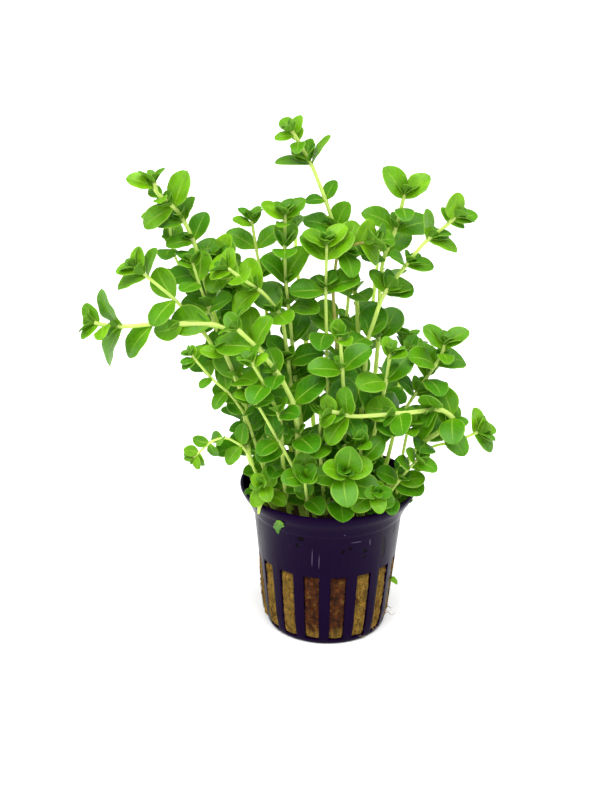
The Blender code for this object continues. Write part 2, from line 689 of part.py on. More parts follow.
def main():
    """Build the pot, the wool and every shoot."""
    clear_scene()
    group = new_collection("dwarf_rotala")
    cutters = new_collection("cutters")
    pot = make_pot(group, cutters)
    stems = [Stem("shoot_%02d" % (index + 1), SHOOTS[index], points)
             for index, points in enumerate(nudged_points(SHOOTS))]
    wool = make_wool(group, stems)
    meshes = [stem_mesh(stem.name, stem.points, stem.radii, group) for stem in stems]
    bpy.context.view_layer.update()
    for stem, mesh, leaves in zip(stems, meshes, plan_leaves(stems, meshes, pot, wool)):
        make_shoot(stem, mesh, leaves, group, new_material(stem.name, SHOOT_GREEN, 0.45))


main()
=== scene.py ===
"""A bunch of dwarf rotala in a net pot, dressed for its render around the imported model.

The frame is in metres, the pot stands on z = 0 with its axis on +Z, and the front of the bunch
faces -Y. The shoots' bends are in millimetres, as they are in the part's own source.
"""

import itertools
import json
import math
import random
from collections import namedtuple
import bmesh
import bpy
import numpy as np
from bpy.props import FloatProperty, FloatVectorProperty, IntProperty, PointerProperty
from mathutils import Matrix, Vector

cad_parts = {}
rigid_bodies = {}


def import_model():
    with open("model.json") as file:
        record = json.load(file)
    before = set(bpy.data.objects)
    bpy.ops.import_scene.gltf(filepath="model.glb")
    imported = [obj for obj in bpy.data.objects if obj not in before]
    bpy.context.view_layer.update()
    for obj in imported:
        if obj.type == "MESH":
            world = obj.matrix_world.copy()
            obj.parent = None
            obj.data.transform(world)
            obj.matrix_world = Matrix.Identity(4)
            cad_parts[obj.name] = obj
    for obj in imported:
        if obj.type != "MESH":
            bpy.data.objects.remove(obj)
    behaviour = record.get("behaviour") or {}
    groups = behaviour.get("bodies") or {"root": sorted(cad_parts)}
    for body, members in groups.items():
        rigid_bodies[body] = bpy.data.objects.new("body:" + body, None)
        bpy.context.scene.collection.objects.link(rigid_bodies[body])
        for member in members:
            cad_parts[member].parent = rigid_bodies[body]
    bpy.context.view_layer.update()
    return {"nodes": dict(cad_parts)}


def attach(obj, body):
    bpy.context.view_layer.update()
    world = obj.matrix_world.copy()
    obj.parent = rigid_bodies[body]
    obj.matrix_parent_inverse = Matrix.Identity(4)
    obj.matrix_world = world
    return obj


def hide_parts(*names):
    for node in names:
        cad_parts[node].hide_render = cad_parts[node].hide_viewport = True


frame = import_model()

bl_info = {
    "name": "Potted dwarf rotala",
    "version": (1, 0, 0),
    "blender": (4, 5, 0),
    "location": "3D View > Sidebar > Rotala",
    "description": "Builds the leaves, stems, rock wool and net pot of a bunch of dwarf rotala",
    "category": "Add Mesh",
}

MM = 0.001

# Net pot and rock wool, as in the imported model
POT_HEIGHT = 0.045
RIM_RADIUS = 0.026
RIM_EDGE = 0.0003
LIP_RADIUS = 0.0249
LIP_HEIGHT = 0.0032
COLLAR_HEIGHT = 0.0078
COLLAR_FOOT_RADIUS = 0.0224
COLLAR_STEP = 0.0006
BODY_TOP_RADIUS = 0.0219
BODY_FOOT_RADIUS = 0.0188
BODY_FOOT = 0.0070
CORNER_RADIUS = 0.0179
CORNER_HEIGHT = 0.0022
BASE_RADIUS = 0.0170
WALL = 0.0010
FLOOR = 0.0012
COLLAR_FOOT = POT_HEIGHT - COLLAR_HEIGHT
BODY_TOP = COLLAR_FOOT - COLLAR_STEP
INNER_WALL = ((BODY_TOP, POT_HEIGHT), (BODY_TOP_RADIUS - WALL, RIM_RADIUS - WALL - RIM_EDGE))
SLOT_COUNT = 16
SLOT_TURN = math.radians(9.0)
SLOT_TOP = 0.0234
SLOT_FOOT = 0.0016
SLOT_INNER = 0.0120
SLOT_OUTER = 0.0240
SLOT_TOP_WIDTH = 0.0047
SLOT_FOOT_WIDTH = 0.0042
DRAIN_COUNT = 4
DRAIN_INNER = 0.0060
DRAIN_OUTER = 0.0135
DRAIN_WIDTH = 0.0026
# How many openings, the turn of the first, and their reach, heights and widths
OPENINGS = (
    (SLOT_COUNT, SLOT_TURN, SLOT_INNER, SLOT_OUTER, SLOT_FOOT, SLOT_TOP, SLOT_FOOT_WIDTH, SLOT_TOP_WIDTH),
    (DRAIN_COUNT, 0.0, DRAIN_INNER, DRAIN_OUTER, -FLOOR, 2 * FLOOR, DRAIN_WIDTH, DRAIN_WIDTH),
)
GAP = 0.0003
WOOL_TOP = 0.038

# Stems and leaves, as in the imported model
STEM_TIP_SHARE = 0.62
FOOT_SPACING = 0.0038
STEM_SPACING = 0.0006
SETTLED = 0.00001
SAMPLE_STEP = 0.0025
INTERNODE = 0.0130
LEAF_WIDTH_SHARE = 0.74
LEAF_SPREAD = 62
FRONT = Vector((0.0, -1.0, 0.0))
LIGHT_HEIGHT = 0.73
LIGHT_FRONT = 0.68
LIGHT_BACK = 0.62
LIGHT_SIDE = 0.12
LIGHT_TURN_START = 0.011
LIGHT_TURN_END = 0.020
LEAN_TO_LIGHT = math.radians(26)
LIGHT_PULL = 1.8
TIP_LEAF_SHARE = 0.62
TIP_SPREAD = 46
TIP_PAIR_DROP = 0.0014
NODE_RISE = 0.0011
MISSING_SHARE = 0.08
SEED = 7
HALF_WIDTH = 0.060
SAME_POINT = 0.00004

# Detail of the dressed pieces
MERGE = 0.000001
SMALL_LEAF = 0.0076
BEND_POINTS = 5
BEND_REACH = 0.0028
RING_STEP = 0.0011
STEM_SIDES = 12
SPRIG_PAIRS = ((0.0056, 46), (0.0038, 24))
FULL_SHOOT_LEAF = 9.0
TIP_DROP = 0.0002
AXIL_BARE_SHARE = 0.35
AXIL_LENGTHS = (0.0034, 0.0064)
AXIL_RISE = 0.0010
SHADE_START = 0.0420
SHADE_STEP = 0.0075
SHADE_BARE_SHARE = 0.25
SHADE_LENGTHS = (0.0045, 0.0075)
SPRIG_YOUTH = 0.26
AXIL_YOUTH = 0.25
# The small leaves on the shaded length of a stem are coloured dark, partly as painted shade.
SHADE_YOUTH = 0.10
# Rows along a leaf, and columns across its top side
FULL_GRID = (15, 8)
SPRIG_GRID = (10, 6)
SMALL_GRID = (9, 6)
# The blade's section, as shares of its length or width
RISE_SHARE = 0.07
DROOP_POWER = 2.2
GROOVE_SHARE = 0.018
GROOVE_REACH = 0.09
RIM_WAVES = 15.0
RIM_WAVE_SHARE = 0.035
RIB_REACH = 0.11
LEAF_SINK = 0.0001
WOOL_COLUMNS = 320
WOOL_ROWS = 90
WOOL_RINGS = 24
WOOL_RELIEF = 0.00062
WOOL_LUMPS = ((0.50, 230.0, 3), (0.38, 600.0, 4), (0.30, 1500.0, 5))
WOOL_LEFT_BULGE = 0.0007
FIBRE_POINTS = 5
ROOT_POINTS = 14
ROOT_STRANDS = 3
TORN_LEAF_AZIMUTH = -127
# The leaf in a slot at the right: where it starts, its direction, and its face's
SLOT_LEAF = ((0.0183, -0.0018, 0.0143), (0.85, -0.20, -0.45), (0.1, -0.15, 0.98))
SLOT_LEAF_LENGTH = 0.0036
KEY_PLACE = (-0.04, -0.34, 1.0)
LIGHT_AIM = (0.0, 0.0, 0.06)
FLOOR_REACH = 4.0
FLOOR_HEIGHT = -0.00005
SOFTBOXES = (("left_softbox", (-0.65, -0.10, 0.40)), ("right_softbox", (0.65, 0.05, 0.40)))
# The pale broken stem over the rim at the left, with its radius at each point, in mm
RIM_STUB = ((-17.2, -14.6, 47.4), (-18.3, -16.3, 47.3), (-19.3, -17.6, 46.3),
            (-19.9, -18.4, 44.6), (-20.1, -18.8, 42.9))
RIM_STUB_RADII = (0.45, 0.50, 0.60, 0.55, 0.30)
# Shoots with a browned stem, and those whose leaves are paler
BROWN_SHOOTS = (14,)
BRIGHT_SHOOTS = {21: 0.12, 24: 0.20}
LEAF_GLOW = (0.50, 0.88, 0.005)
STEM_GREEN = (0.500, 0.800, 0.060)

# Roots out of the slots: azimuth in degrees, then height, length, rise and sideways reach in mm
ROOTS = (
    (-6, 3.4, 4.2, -1.0, 1.5),
    (-12, 4.2, 3.0, 0.5, -1.0),
    (-39, 3.4, 1.8, -1.2, 0.5),
    (-58, 1.2, 2.6, -0.4, 2.0),
    (160, 6, 2.5, -0.8, 0.8),
)

# Marks on the front of the plastic: across, height, width and height of each in mm
DARK_MARKS = (
    (-7.9, 36, 2.1, 1.7),
    (-8.9, 33.6, 1, 1.8),
    (4.2, 32.3, 1.2, 1.3),
    (6.3, 33.2, 1.5, 1.1),
    (10.6, 31.6, 1.4, 1.4),
    (10.4, 29.6, 1.2, 1.1),
    (16.1, 30.4, 1, 7),
    (18.9, 34.8, 1, 2.2),
    (19.6, 29, 0.8, 1.7),
    (-19.7, 31.6, 0.9, 8.4),
)
# Pale marks on the front of the plastic, painted lighter: across, height, width and height of each in mm
PALE_MARKS = (
    (8.0, 35.0, 3.2, 0.25),
    (-4.6, 30.0, 0.22, 6.0),
    (-2.6, 29.0, 0.20, 5.0),
    (4.6, 38.2, 0.5, 0.3),
    (12.0, 34.0, 0.25, 2.0),
)

Shoot = namedtuple("Shoot", "thick leaf turn bare bends")
Bend = namedtuple("Bend", "x y z turn leaf spread pull lost", defaults=(None,) * 8)
Node = namedtuple("Node", "point way side radius length spread pull lost")
Leaf = namedtuple("Leaf", "base along face length")

# A shoot is the stem's thickness, a full leaf's length, the turn of its first pair in degrees, the
# height below which it is bare, and its foot and bends up to the tip. A bend may have its own turn,
# leaf length, spread in degrees, share of the pull to the light, and the side of a lost leaf: 1 or
# -1, and 0 where both stand.
SHOOTS = (
    # The long shoots at the left
    Shoot(1.7, 11, 30, 72, ((-12, 3, 31), (-16, 3, 46), (-25, 1, 70), (-34, 0, 98),
          (-38.5, -1, 117, 30, 9), (-41, -1, 123, 15, 8, 60, 0.4, 0),
          (-43.5, -2, 127.5, 5, 11, 66, 1.3, 0), (-46.5, -3, 130.5, 95, 6, 60, 1.5, 0),
          (-49, -3, 132.5, 0, 4, 60, 1, 1), (-49.5, -3, 135.5, 5, 9, 55, 1.6, 1))),
    Shoot(1.2, 8, 10, 92, ((-10, 8, 31), (-14, 9, 46), (-28, 10, 80), (-42, 9, 104),
          (-45.5, 8, 112, 80, 8), (-46.5, 8, 122.5, 0, 8, 65, 0.35, 1))),
    Shoot(1.2, 9, 60, 80, ((-13, -2, 31), (-17, -3, 46), (-26, -6, 74), (-34, -7, 99),
          (-37, -7, 107), (-39, -7, 114, 20, 5))),
    Shoot(1.5, 10, 20, 60, ((-9, -4, 31), (-13, -5, 46), (-26, -7, 75), (-35, -9, 93),
          (-43, -9, 103, 15, 10), (-50.5, -9, 109.5, 0, 9, 62, 0.5, 0),
          (-54.5, -9, 113, 5, 7, 46, 2, 0))),
    Shoot(1.9, 12, 20, 66, ((-3, -5, 31), (-5, -6, 46), (-12, -9, 76), (-20, -12, 91),
          (-32, -13, 98), (-40, -13, 98, 0, 9, 16, 1, -1), (-48.5, -13, 98, 0, 12, 42, 1, 1),
          (-57, -13, 97, 0, 12, 62, 0.5, 0), (-62, -13, 97, 80, 7), (-66, -13, 98, 15, 7))),
    Shoot(1.1, 6, 40, 70, ((-15, -8, 31), (-18, -12, 50), (-24, -16, 72), (-28, -17, 79),
          (-33, -17, 83, 60, 5), (-37, -17, 88, 20, 4.5), (-39, -17, 90.5, 30, 4))),
    Shoot(1.9, 11, 60, 58, ((-16, -5, 31), (-20, -9, 47), (-23, -14, 60), (-24, -16, 75, 10, 10),
          (-26, -17, 82), (-30, -17, 92))),
    Shoot(1.0, 5, 25, 58, ((-11, -12, 31), (-18, -15, 48), (-24, -20, 64, 5, 6.5, 60, 1.5, 0),
          (-29, -21, 67.5), (-33, -21, 66.5), (-36, -21, 63.5, 10, 4.5), (-38.5, -21, 61, 30, 4))),
    Shoot(1.4, 10, 40, 80, ((-11, 5, 31), (-15, 6, 48), (-22, 5, 80), (-27, 2, 101),
          (-30, 0, 109, 60, 9), (-32, -1, 114, 10, 8))),
    # The crown
    Shoot(1.6, 10, 20, 74, ((5, 4, 31), (7, 4, 50), (8.5, 4, 78), (7, 3, 101), (4, 2, 111),
          (1, 1, 120, 5, 9, 42, 1.5, 0), (-2, 1, 129, 20, 6), (-6, 0, 139.5, 0, 10.5, 60, 0.02, 0),
          (-9.5, -1, 146, 80, 6), (-12, -1, 150, 15, 6, 50, 1.3, 0))),
    Shoot(1.4, 10, 55, 56, ((-4, 2, 31), (-6, 0, 48), (-10, -5, 78), (-12, -7, 100),
          (-13, -7, 107, 0, 12, 30, 1, 0), (-13.5, -7, 117), (-13.5, -6, 124, 75, 6),
          (-13.5, -6, 128, 15, 8.5))),
    Shoot(1.3, 9, 30, 66, ((-8, 9, 31), (-11, 10, 48), (-17, 8, 82), (-20, 7, 104),
          (-21.5, 6, 113, 10, 10), (-23, 6, 122.5, 20, 6))),
    Shoot(1.3, 10, 80, 58, ((0, -2, 31), (0, -3, 48), (-1, -7, 80), (-2, -9, 106),
          (-2, -10, 115, 5, 10, 50, 1, 0), (-2, -10, 121, 20, 8))),
    Shoot(1.3, 9, 40, 60, ((4, -1, 31), (4, -3, 48), (2, -6, 84), (0, -6, 106), (1, -6, 117),
          (6, -7, 120, 0, 8), (11, -7, 121, 60, 8))),
    # The long shoots at the right
    Shoot(1.6, 11, 50, 60, ((8, 3, 31), (10, 3, 48), (12.5, 3, 70), (13.5, 3, 87), (13.5, 3, 103),
          (14, 3, 112), (17, 2, 120, 10, 10.5, 60, 1.5, 0), (18.5, 1.5, 127, 100, 8, 60, 1.6, 1),
          (19.5, 1, 132, 5, 10, 40, 2.5, 0))),
    Shoot(1.6, 10, 60, 54, ((7, -3, 31), (8, -3, 48), (9.5, -3, 76), (10, -4, 90),
          (14, -4, 104, 5, 8), (19.5, -4, 112, 15, 8, 60, 0.8, 0), (25, -5, 120, 0, 9, 50, 0.5, 0),
          (31, -5, 125, 0, 4.5), (33.5, -5, 127.5, 20, 8, 34, 1.8, 0))),
    Shoot(1.4, 10, 20, 58, ((13, -4, 31), (16, -6, 50), (19, -9, 68), (23, -11, 76, 25, 9),
          (26, -11, 81), (28.5, -11, 85, 30, 11, 75, 1.3, 0), (30.5, -11, 88.5, 100, 7),
          (31.5, -11, 92.5, 5, 9, 46, 1.6, 0))),
    Shoot(1.3, 7, 30, 61.5, ((16, -1, 31), (20, -3, 48), (25, -7, 57), (31, -9, 61),
          (36, -10, 62, 0, 5), (40, -10, 64.5, 5, 8, 62, 1, 0), (43.5, -10, 66, 10, 5))),
    Shoot(1.9, 10, 50, 56, ((14, -8, 31), (18, -9, 47), (26, -11, 62), (32, -12, 67),
          (35, -14, 71), (31, -16, 75, 170, 10), (20, -20, 75), (6, -23, 75),
          (0, -24, 77, 20, 6))),
    Shoot(1.2, 8, 15, 46, ((12, -10, 31), (16, -14, 46), (19, -17, 52), (22, -19, 57.5, 30, 7),
          (24.5, -20, 61, 0, 6.5))),
    # The short ones that lean out over the front of the rim
    Shoot(1.5, 11, 5, 46, ((2, -12, 31), (3, -17, 46), (4, -22, 54), (4, -25, 58, 95, 11),
          (4, -27, 60, 5, 9))),
    Shoot(1.3, 9, 30, 46, ((-5, -13, 31), (-6, -17, 46), (-7, -21, 54, 70, 9),
          (-7, -24, 57, 20, 8))),
    Shoot(1.3, 9, 60, 46, ((8, -12, 31), (10, -17, 46), (12, -21, 51, 60, 8),
          (13, -25, 53, 120, 7))),
    Shoot(1.2, 7, 20, 46, ((-15, -10, 31), (-17, -14, 46), (-18, -18, 51, 20, 7, 60, 0.5),
          (-19, -21, 53, 80, 6))),
    # The front of the bunch
    Shoot(1.9, 11, 50, 54, ((-7, -9, 31), (-9, -14, 47), (-9, -19, 66), (-10, -21, 77, 0, 11),
          (-14, -22, 86, 75, 8), (-20, -22, 94), (-26, -22, 100))),
    Shoot(1.4, 9, 70, 62, ((-10, -10, 31), (-13, -16, 52), (-14, -22, 74), (-18, -25, 84),
          (-22, -26, 92))),
    Shoot(1.2, 8, 45, 56, ((-2, -10, 31), (-7, -17, 50), (-14, -22, 66), (-20, -24, 78),
          (-22, -24, 82, 20, 6))),
    Shoot(1.5, 11, 20, 50, ((3, -7, 31), (4, -11, 50), (4, -17, 72), (3, -19, 86), (2, -21, 98))),
    Shoot(1.5, 11, 40, 50, ((8, -6, 31), (10, -10, 50), (13, -15, 70), (15, -17, 82),
          (16, -18, 92))),
    Shoot(1.5, 11, 15, 70, ((-7, -1, 31), (-9, -3, 50), (-12, -9, 84), (-14, -11, 100),
          (-19, -12, 107), (-25, -12, 111), (-29, -12, 114))),
    Shoot(1.3, 10, 30, 48, ((7, -13, 31), (8, -18, 48), (9, -22, 60), (8, -24, 68))),
    Shoot(1.3, 10, 60, 48, ((-1, -6, 31), (-2, -12, 50), (-3, -18, 64), (-3, -21, 76))),
    Shoot(1.3, 10, 10, 48, ((16, -5, 31), (19, -10, 50), (21, -14, 62), (22, -16, 70))),
    # The back of the bunch
    Shoot(1.6, 11, 25, 66, ((-12, 12, 31), (-16, 16, 50), (-22, 22, 74), (-27, 25, 90),
          (-29, 27, 102))),
    Shoot(1.3, 10, 50, 52, ((-16, 6, 31), (-20, 9, 48), (-27, 14, 66), (-31, 17, 78))),
    Shoot(1.6, 11, 10, 68, ((-3, 14, 31), (-4, 18, 50), (-7, 25, 78), (-10, 29, 100),
          (-11, 30, 114))),
    Shoot(1.6, 11, 70, 68, ((5, 13, 31), (7, 17, 50), (11, 23, 76), (13, 26, 96), (14, 28, 108))),
    Shoot(1.5, 11, 30, 50, ((11, 10, 31), (15, 13, 50), (19, 17, 66), (22, 19, 77), (23, 20, 82))),
    Shoot(1.4, 10, 20, 68, ((1, 9, 31), (1, 11, 50), (3, 13, 76), (5, 15, 96), (5, 16, 110))),
    Shoot(1.4, 11, 35, 52, ((12, 3, 31), (15, 4, 50), (18, 5, 66), (21, 5, 77), (22, 4, 84))),
)


def length_prop(name, text, metres):
    return FloatProperty(name=name, description=text, default=metres, unit="LENGTH")


def number_prop(name, text, number):
    return FloatProperty(name=name, description=text, default=number)


def angle_prop(name, text, degrees):
    return FloatProperty(name=name, description=text, default=math.radians(degrees), subtype="ANGLE")


def colour_prop(name, text, *rgb):
    return FloatVectorProperty(name=name, description=text, default=rgb, subtype="COLOR")


class PotSettings(bpy.types.PropertyGroup):
    """Sizes and colour of the net pot."""
    columns: IntProperty(name="Columns", description="Facets round the pot", default=144, min=48)
    edge: length_prop("Edge", "Rounding of the moulded edges", 0.00018)
    plastic: colour_prop("Plastic", "Colour of the plastic", 0.0050, 0.0009, 0.0132)


class WoolSettings(bpy.types.PropertyGroup):
    """Shape and colours of the rock wool."""
    bulge: length_prop("Bulge", "How far the wool stands out in the slots", 0.00105)
    fibres: IntProperty(name="Fibres", description="Loose fibres on the surface", default=900, min=0)
    fibre: length_prop("Fibre", "Radius of a loose fibre", 0.000055)
    tan: colour_prop("Tan", "Clean wool", 0.196, 0.113, 0.0150)
    rust: colour_prop("Rust", "Stained wool", 0.060, 0.0150, 0.0020)


class ShootSettings(bpy.types.PropertyGroup):
    """Shape and colours of the stems and leaves."""
    thickness: length_prop("Leaf thickness", "Thickness at the midrib", 0.00034)
    droop: number_prop("Droop", "How far a leaf bends back, as a share of its length", 0.10)
    cup: number_prop("Cup", "How far the sides rise, as a share of the width", 0.09)
    fold: number_prop("Fold", "How far the two halves fold up, as a share of the width", 0.05)
    young: colour_prop("Young leaf", "Leaves at the tips", 0.250, 0.560, 0.004)
    grown: colour_prop("Grown leaf", "Leaves lower down", 0.044, 0.220, 0.0006)
    underside: colour_prop("Underside", "The leaves' under side", 0.160, 0.350, 0.030)
    midrib: colour_prop("Midrib", "The leaves' midrib", 0.400, 0.640, 0.070)
    stem: colour_prop("Stem", "The stems", 0.920, 0.985, 0.370)


class ScrapSettings(bpy.types.PropertyGroup):
    """Roots and torn scraps on the pot."""
    root: length_prop("Root", "Radius of a root", 0.00012)
    root_colour: colour_prop("Root colour", "The fine roots", 0.230, 0.150, 0.085)


class StageSettings(bpy.types.PropertyGroup):
    """Camera, lights and floor."""
    distance: length_prop("Distance", "From the camera to the point it looks at", 0.530)
    elevation: angle_prop("Elevation", "The camera's height above the horizon", 22.06)
    roll: angle_prop("Roll", "The camera's roll", 0.8)
    lens: number_prop("Lens", "Focal length in millimetres", 82.53)
    aim: FloatVectorProperty(name="Aim", description="The point the camera looks at", subtype="XYZ",
                             default=(-0.0087, 0.0, 0.0705))
    key: number_prop("Key light", "Strength of the soft light from above", 4.9)
    spread: angle_prop("Key spread", "How wide the soft light is", 64)
    fill: FloatProperty(name="Fill light", description="Power of the side lights", default=1.5,
                        unit="POWER")
    sky: number_prop("Sky", "Strength of the even light all round", 0.52)
    floor: colour_prop("Floor", "Colour of the floor", 0.93, 0.93, 0.93)


class Value:
    """A socket of a material, with arithmetic that adds Math nodes."""

    def __init__(self, paint, socket):
        self.paint = paint
        self.socket = socket

    def maths(self, operation, first, second=None):
        return self.paint.add("ShaderNodeMath", {"operation": operation}, {0: first, 1: second})

    def __add__(self, other):
        return self.maths("ADD", self, other)

    def __radd__(self, other):
        return self.maths("ADD", other, self)

    def __sub__(self, other):
        return self.maths("SUBTRACT", self, other)

    def __rsub__(self, other):
        return self.maths("SUBTRACT", other, self)

    def __mul__(self, other):
        return self.maths("MULTIPLY", self, other)

    def __rmul__(self, other):
        return self.maths("MULTIPLY", other, self)

    def __truediv__(self, other):
        return self.maths("DIVIDE", self, other)

    def __abs__(self):
        return self.maths("ABSOLUTE", self)

    def fraction(self):
        return self.maths("FRACT", self)


class Paint:
    """A material's nodes, added one at a time."""

    def __init__(self, name):
        self.material = bpy.data.materials.new(name)
        self.material.use_nodes = True
        self.tree = self.material.node_tree
        self.shader = self.tree.nodes["Principled BSDF"]

    def add(self, kind, settings=None, inputs=None, out=0):
        """Add one node: its settings first, then the values or links of its sockets."""
        node = self.tree.nodes.new(kind)
        for key, value in (settings or {}).items():
            setattr(node, key, value)
        for key, value in (inputs or {}).items():
            self.put(node.inputs[key], value)
        return Value(self, node.outputs[out])

    def put(self, socket, value):
        """Set a socket, or link it."""
        if value is None:
            return
        if isinstance(value, Value):
            self.tree.links.new(value.socket, socket)
        elif hasattr(value, "__len__") and len(value) == 3 and socket.type == "RGBA":
            socket.default_value = (*value, 1.0)
        else:
            socket.default_value = value

    def finished(self, colour, rough, relief=None, depth=0.0, strength=1.0, specular=0.5):
        """The material, with its colour, roughness, bumps and gloss on the Principled shader."""
        normal = None
        if relief is not None:
            normal = self.add("ShaderNodeBump", None, {"Height": relief, "Distance": depth,
                                                       "Strength": strength})
        for name, value in (("Base Color", colour), ("Roughness", rough), ("Normal", normal),
                            ("Specular IOR Level", specular)):
            self.put(self.shader.inputs[name], value)
        return self.material

    def position(self):
        return self.add("ShaderNodeTexCoord", out=3)

    def parts(self, vector):
        """The three numbers of a vector."""
        node = self.add("ShaderNodeSeparateXYZ", None, {0: vector}).socket.node
        return [Value(self, output) for output in node.outputs]

    def map(self, name):
        """The two numbers of a UV map."""
        return self.parts(self.add("ShaderNodeUVMap", {"uv_map": name}))[:2]

    def noise(self, scale, detail=3.0, roughness=0.5, where=None):
        where = where or self.position()
        return self.add("ShaderNodeTexNoise", None, {"Vector": where, "Scale": scale, "Detail": detail,
                                                     "Roughness": roughness})

    def stretched(self, scale):
        """The position with its axes scaled apart, for streaks."""
        return self.add("ShaderNodeMapping", None, {0: self.position(), "Scale": scale})

    def step(self, value, low, high):
        """0 below low, 1 above high, and smooth between."""
        return self.add("ShaderNodeMapRange", {"interpolation_type": "SMOOTHSTEP"},
                        {0: value, 1: low, 2: high})

    def mix(self, share, first, second):
        """One colour blended into another."""
        return self.add("ShaderNodeMix", {"data_type": "RGBA"}, {0: share, 6: first, 7: second}, out=2)

    def layered(self, colour, *layers):
        """A colour with others blended over it in turn, each by its share."""
        for share, over in layers:
            colour = self.mix(share, colour, over)
        return colour

    def shine_through(self, colour, share):
        """Let a share of the light through the surface, in one plain colour."""
        glow = self.add("ShaderNodeBsdfTranslucent", None, {"Color": colour})
        both = self.add("ShaderNodeMixShader", None, {0: share, 1: Value(self, self.shader.outputs[0]),
                                                      2: glow})
        self.tree.links.new(both.socket, self.tree.nodes["Material Output"].inputs["Surface"])


class Sheets:
    """Grids of points, gathered into one mesh with the leaf and tone UV maps."""

    def __init__(self):
        self.points = []
        self.quads = []
        self.maps = {"leaf": [], "tone": []}
        self.slots = []
        self.count = 0

    def add(self, points, leaf=(0.0, 0.0), tone=(0.0, 0.0), slot=0):
        """Add grids of shape (rows, columns, 3), or several at once, closed across the columns."""
        points = points.reshape(-1, *points.shape[-3:])
        index = np.arange(points[..., 0].size).reshape(points.shape[:3]) + self.count
        index = np.concatenate([index, index[:, :, :1]], axis=2)
        quads = np.stack([index[:, :-1, :-1], index[:, :-1, 1:], index[:, 1:, 1:], index[:, 1:, :-1]],
                         axis=-1).reshape(-1, 4)
        self.points.append(points.reshape(-1, 3))
        self.quads.append(quads)
        for name, values in (("leaf", leaf), ("tone", tone)):
            self.maps[name].append(np.broadcast_to(values, points.shape[:3] + (2,)).reshape(-1, 2))
        self.slots.append(np.full(len(quads), slot))
        self.count += len(self.points[-1])

    def mesh(self, name):
        """One mesh, with its poles and seams closed and its faces outward."""
        quads = np.concatenate(self.quads)
        mesh = bpy.data.meshes.new(name)
        mesh.from_pydata(np.concatenate(self.points).tolist(), [], quads.tolist())
        for title, values in self.maps.items():
            layer = mesh.uv_layers.new(name=title)
            layer.data.foreach_set("uv", np.concatenate(values)[quads.ravel()].ravel())
        mesh.polygons.foreach_set("material_index", np.concatenate(self.slots))
        bm = bmesh.new()
        bm.from_mesh(mesh)
        bmesh.ops.remove_doubles(bm, verts=bm.verts, dist=MERGE)
        bmesh.ops.dissolve_degenerate(bm, edges=bm.edges, dist=MERGE)
        bmesh.ops.recalc_face_normals(bm, faces=bm.faces)
        bm.to_mesh(mesh)
        bm.free()
        mesh.shade_smooth()
        return mesh

    def piece(self, name, materials, slot, node=None):
        """A piece that rides on the frame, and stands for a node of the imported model."""
        piece = linked(name, self.mesh(name))
        for material in materials:
            piece.data.materials.append(material)
        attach(piece, "root")
        if node is not None:
            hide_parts(node)
        return piece


def linked(name, data):
    """A new object in the scene."""
    thing = bpy.data.objects.new(name, data)
    bpy.context.scene.collection.objects.link(thing)
    return thing


def stacked(*parts):
    """Arrays broadcast together, and joined along a new last axis."""
    return np.stack(np.broadcast_arrays(*parts), axis=-1)


def round_axis(radius, turn, z):
    """Points at a radius and an angle about the pot's axis, at a height."""
    return stacked(radius * np.cos(turn), radius * np.sin(turn), z)


def unit(vectors):
    """Vectors of length one."""
    return vectors / np.maximum(np.linalg.norm(vectors, axis=-1, keepdims=True), 1e-9)


def ripple(points, scale, seed, waves=9):
    """A smooth random number from -1 to 1 at each point.

    It is the mean of several sines, each along a direction of its own, at about scale per metre.
    """
    draw = np.random.default_rng(seed)
    ways = unit(draw.normal(size=(waves, 3))) * scale * draw.uniform(0.6, 1.7, (waves, 1))
    return np.sin(points @ ways.T * math.tau + draw.uniform(0, math.tau, waves)).mean(axis=-1) * 1.8


def sweep(path, radius, sides, corners=0.0):
    """Rings of points round a path, of shape (rings, sides, 3), closed to a point at both ends.

    A ring's points lie at the radius in the plane across the path, and corners adds a fourfold wave.
    """
    way = unit(np.gradient(path, axis=0))
    level = unit(np.cross(way, np.array(FRONT)))
    other = np.cross(way, level)
    turn = np.linspace(0.0, math.tau, sides, endpoint=False)
    size = radius[:, None] * (1.0 + corners * np.cos(4.0 * turn))
    rings = (path[:, None] + (size * np.cos(turn))[..., None] * level[:, None]
             + (size * np.sin(turn))[..., None] * other[:, None])
    ends = np.repeat(path[[0, -1], None], sides, axis=1)
    return np.concatenate([ends[:1], rings, ends[1:]])


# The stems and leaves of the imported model, worked out again from the same numbers

class Stem:
    """One shoot's bends, with its radius at each."""

    def __init__(self, name, shoot, points):
        self.shoot = shoot
        self.name = name
        self.points = [Vector(point) for point in points]
        spans = [(second - first).length for first, second in zip(self.points, self.points[1:])]
        lengths = list(itertools.accumulate(spans, initial=0.0))
        foot = 0.5 * shoot.thick * MM
        self.radii = [foot * (1.0 - (1.0 - STEM_TIP_SHARE) * s / lengths[-1]) for s in lengths]


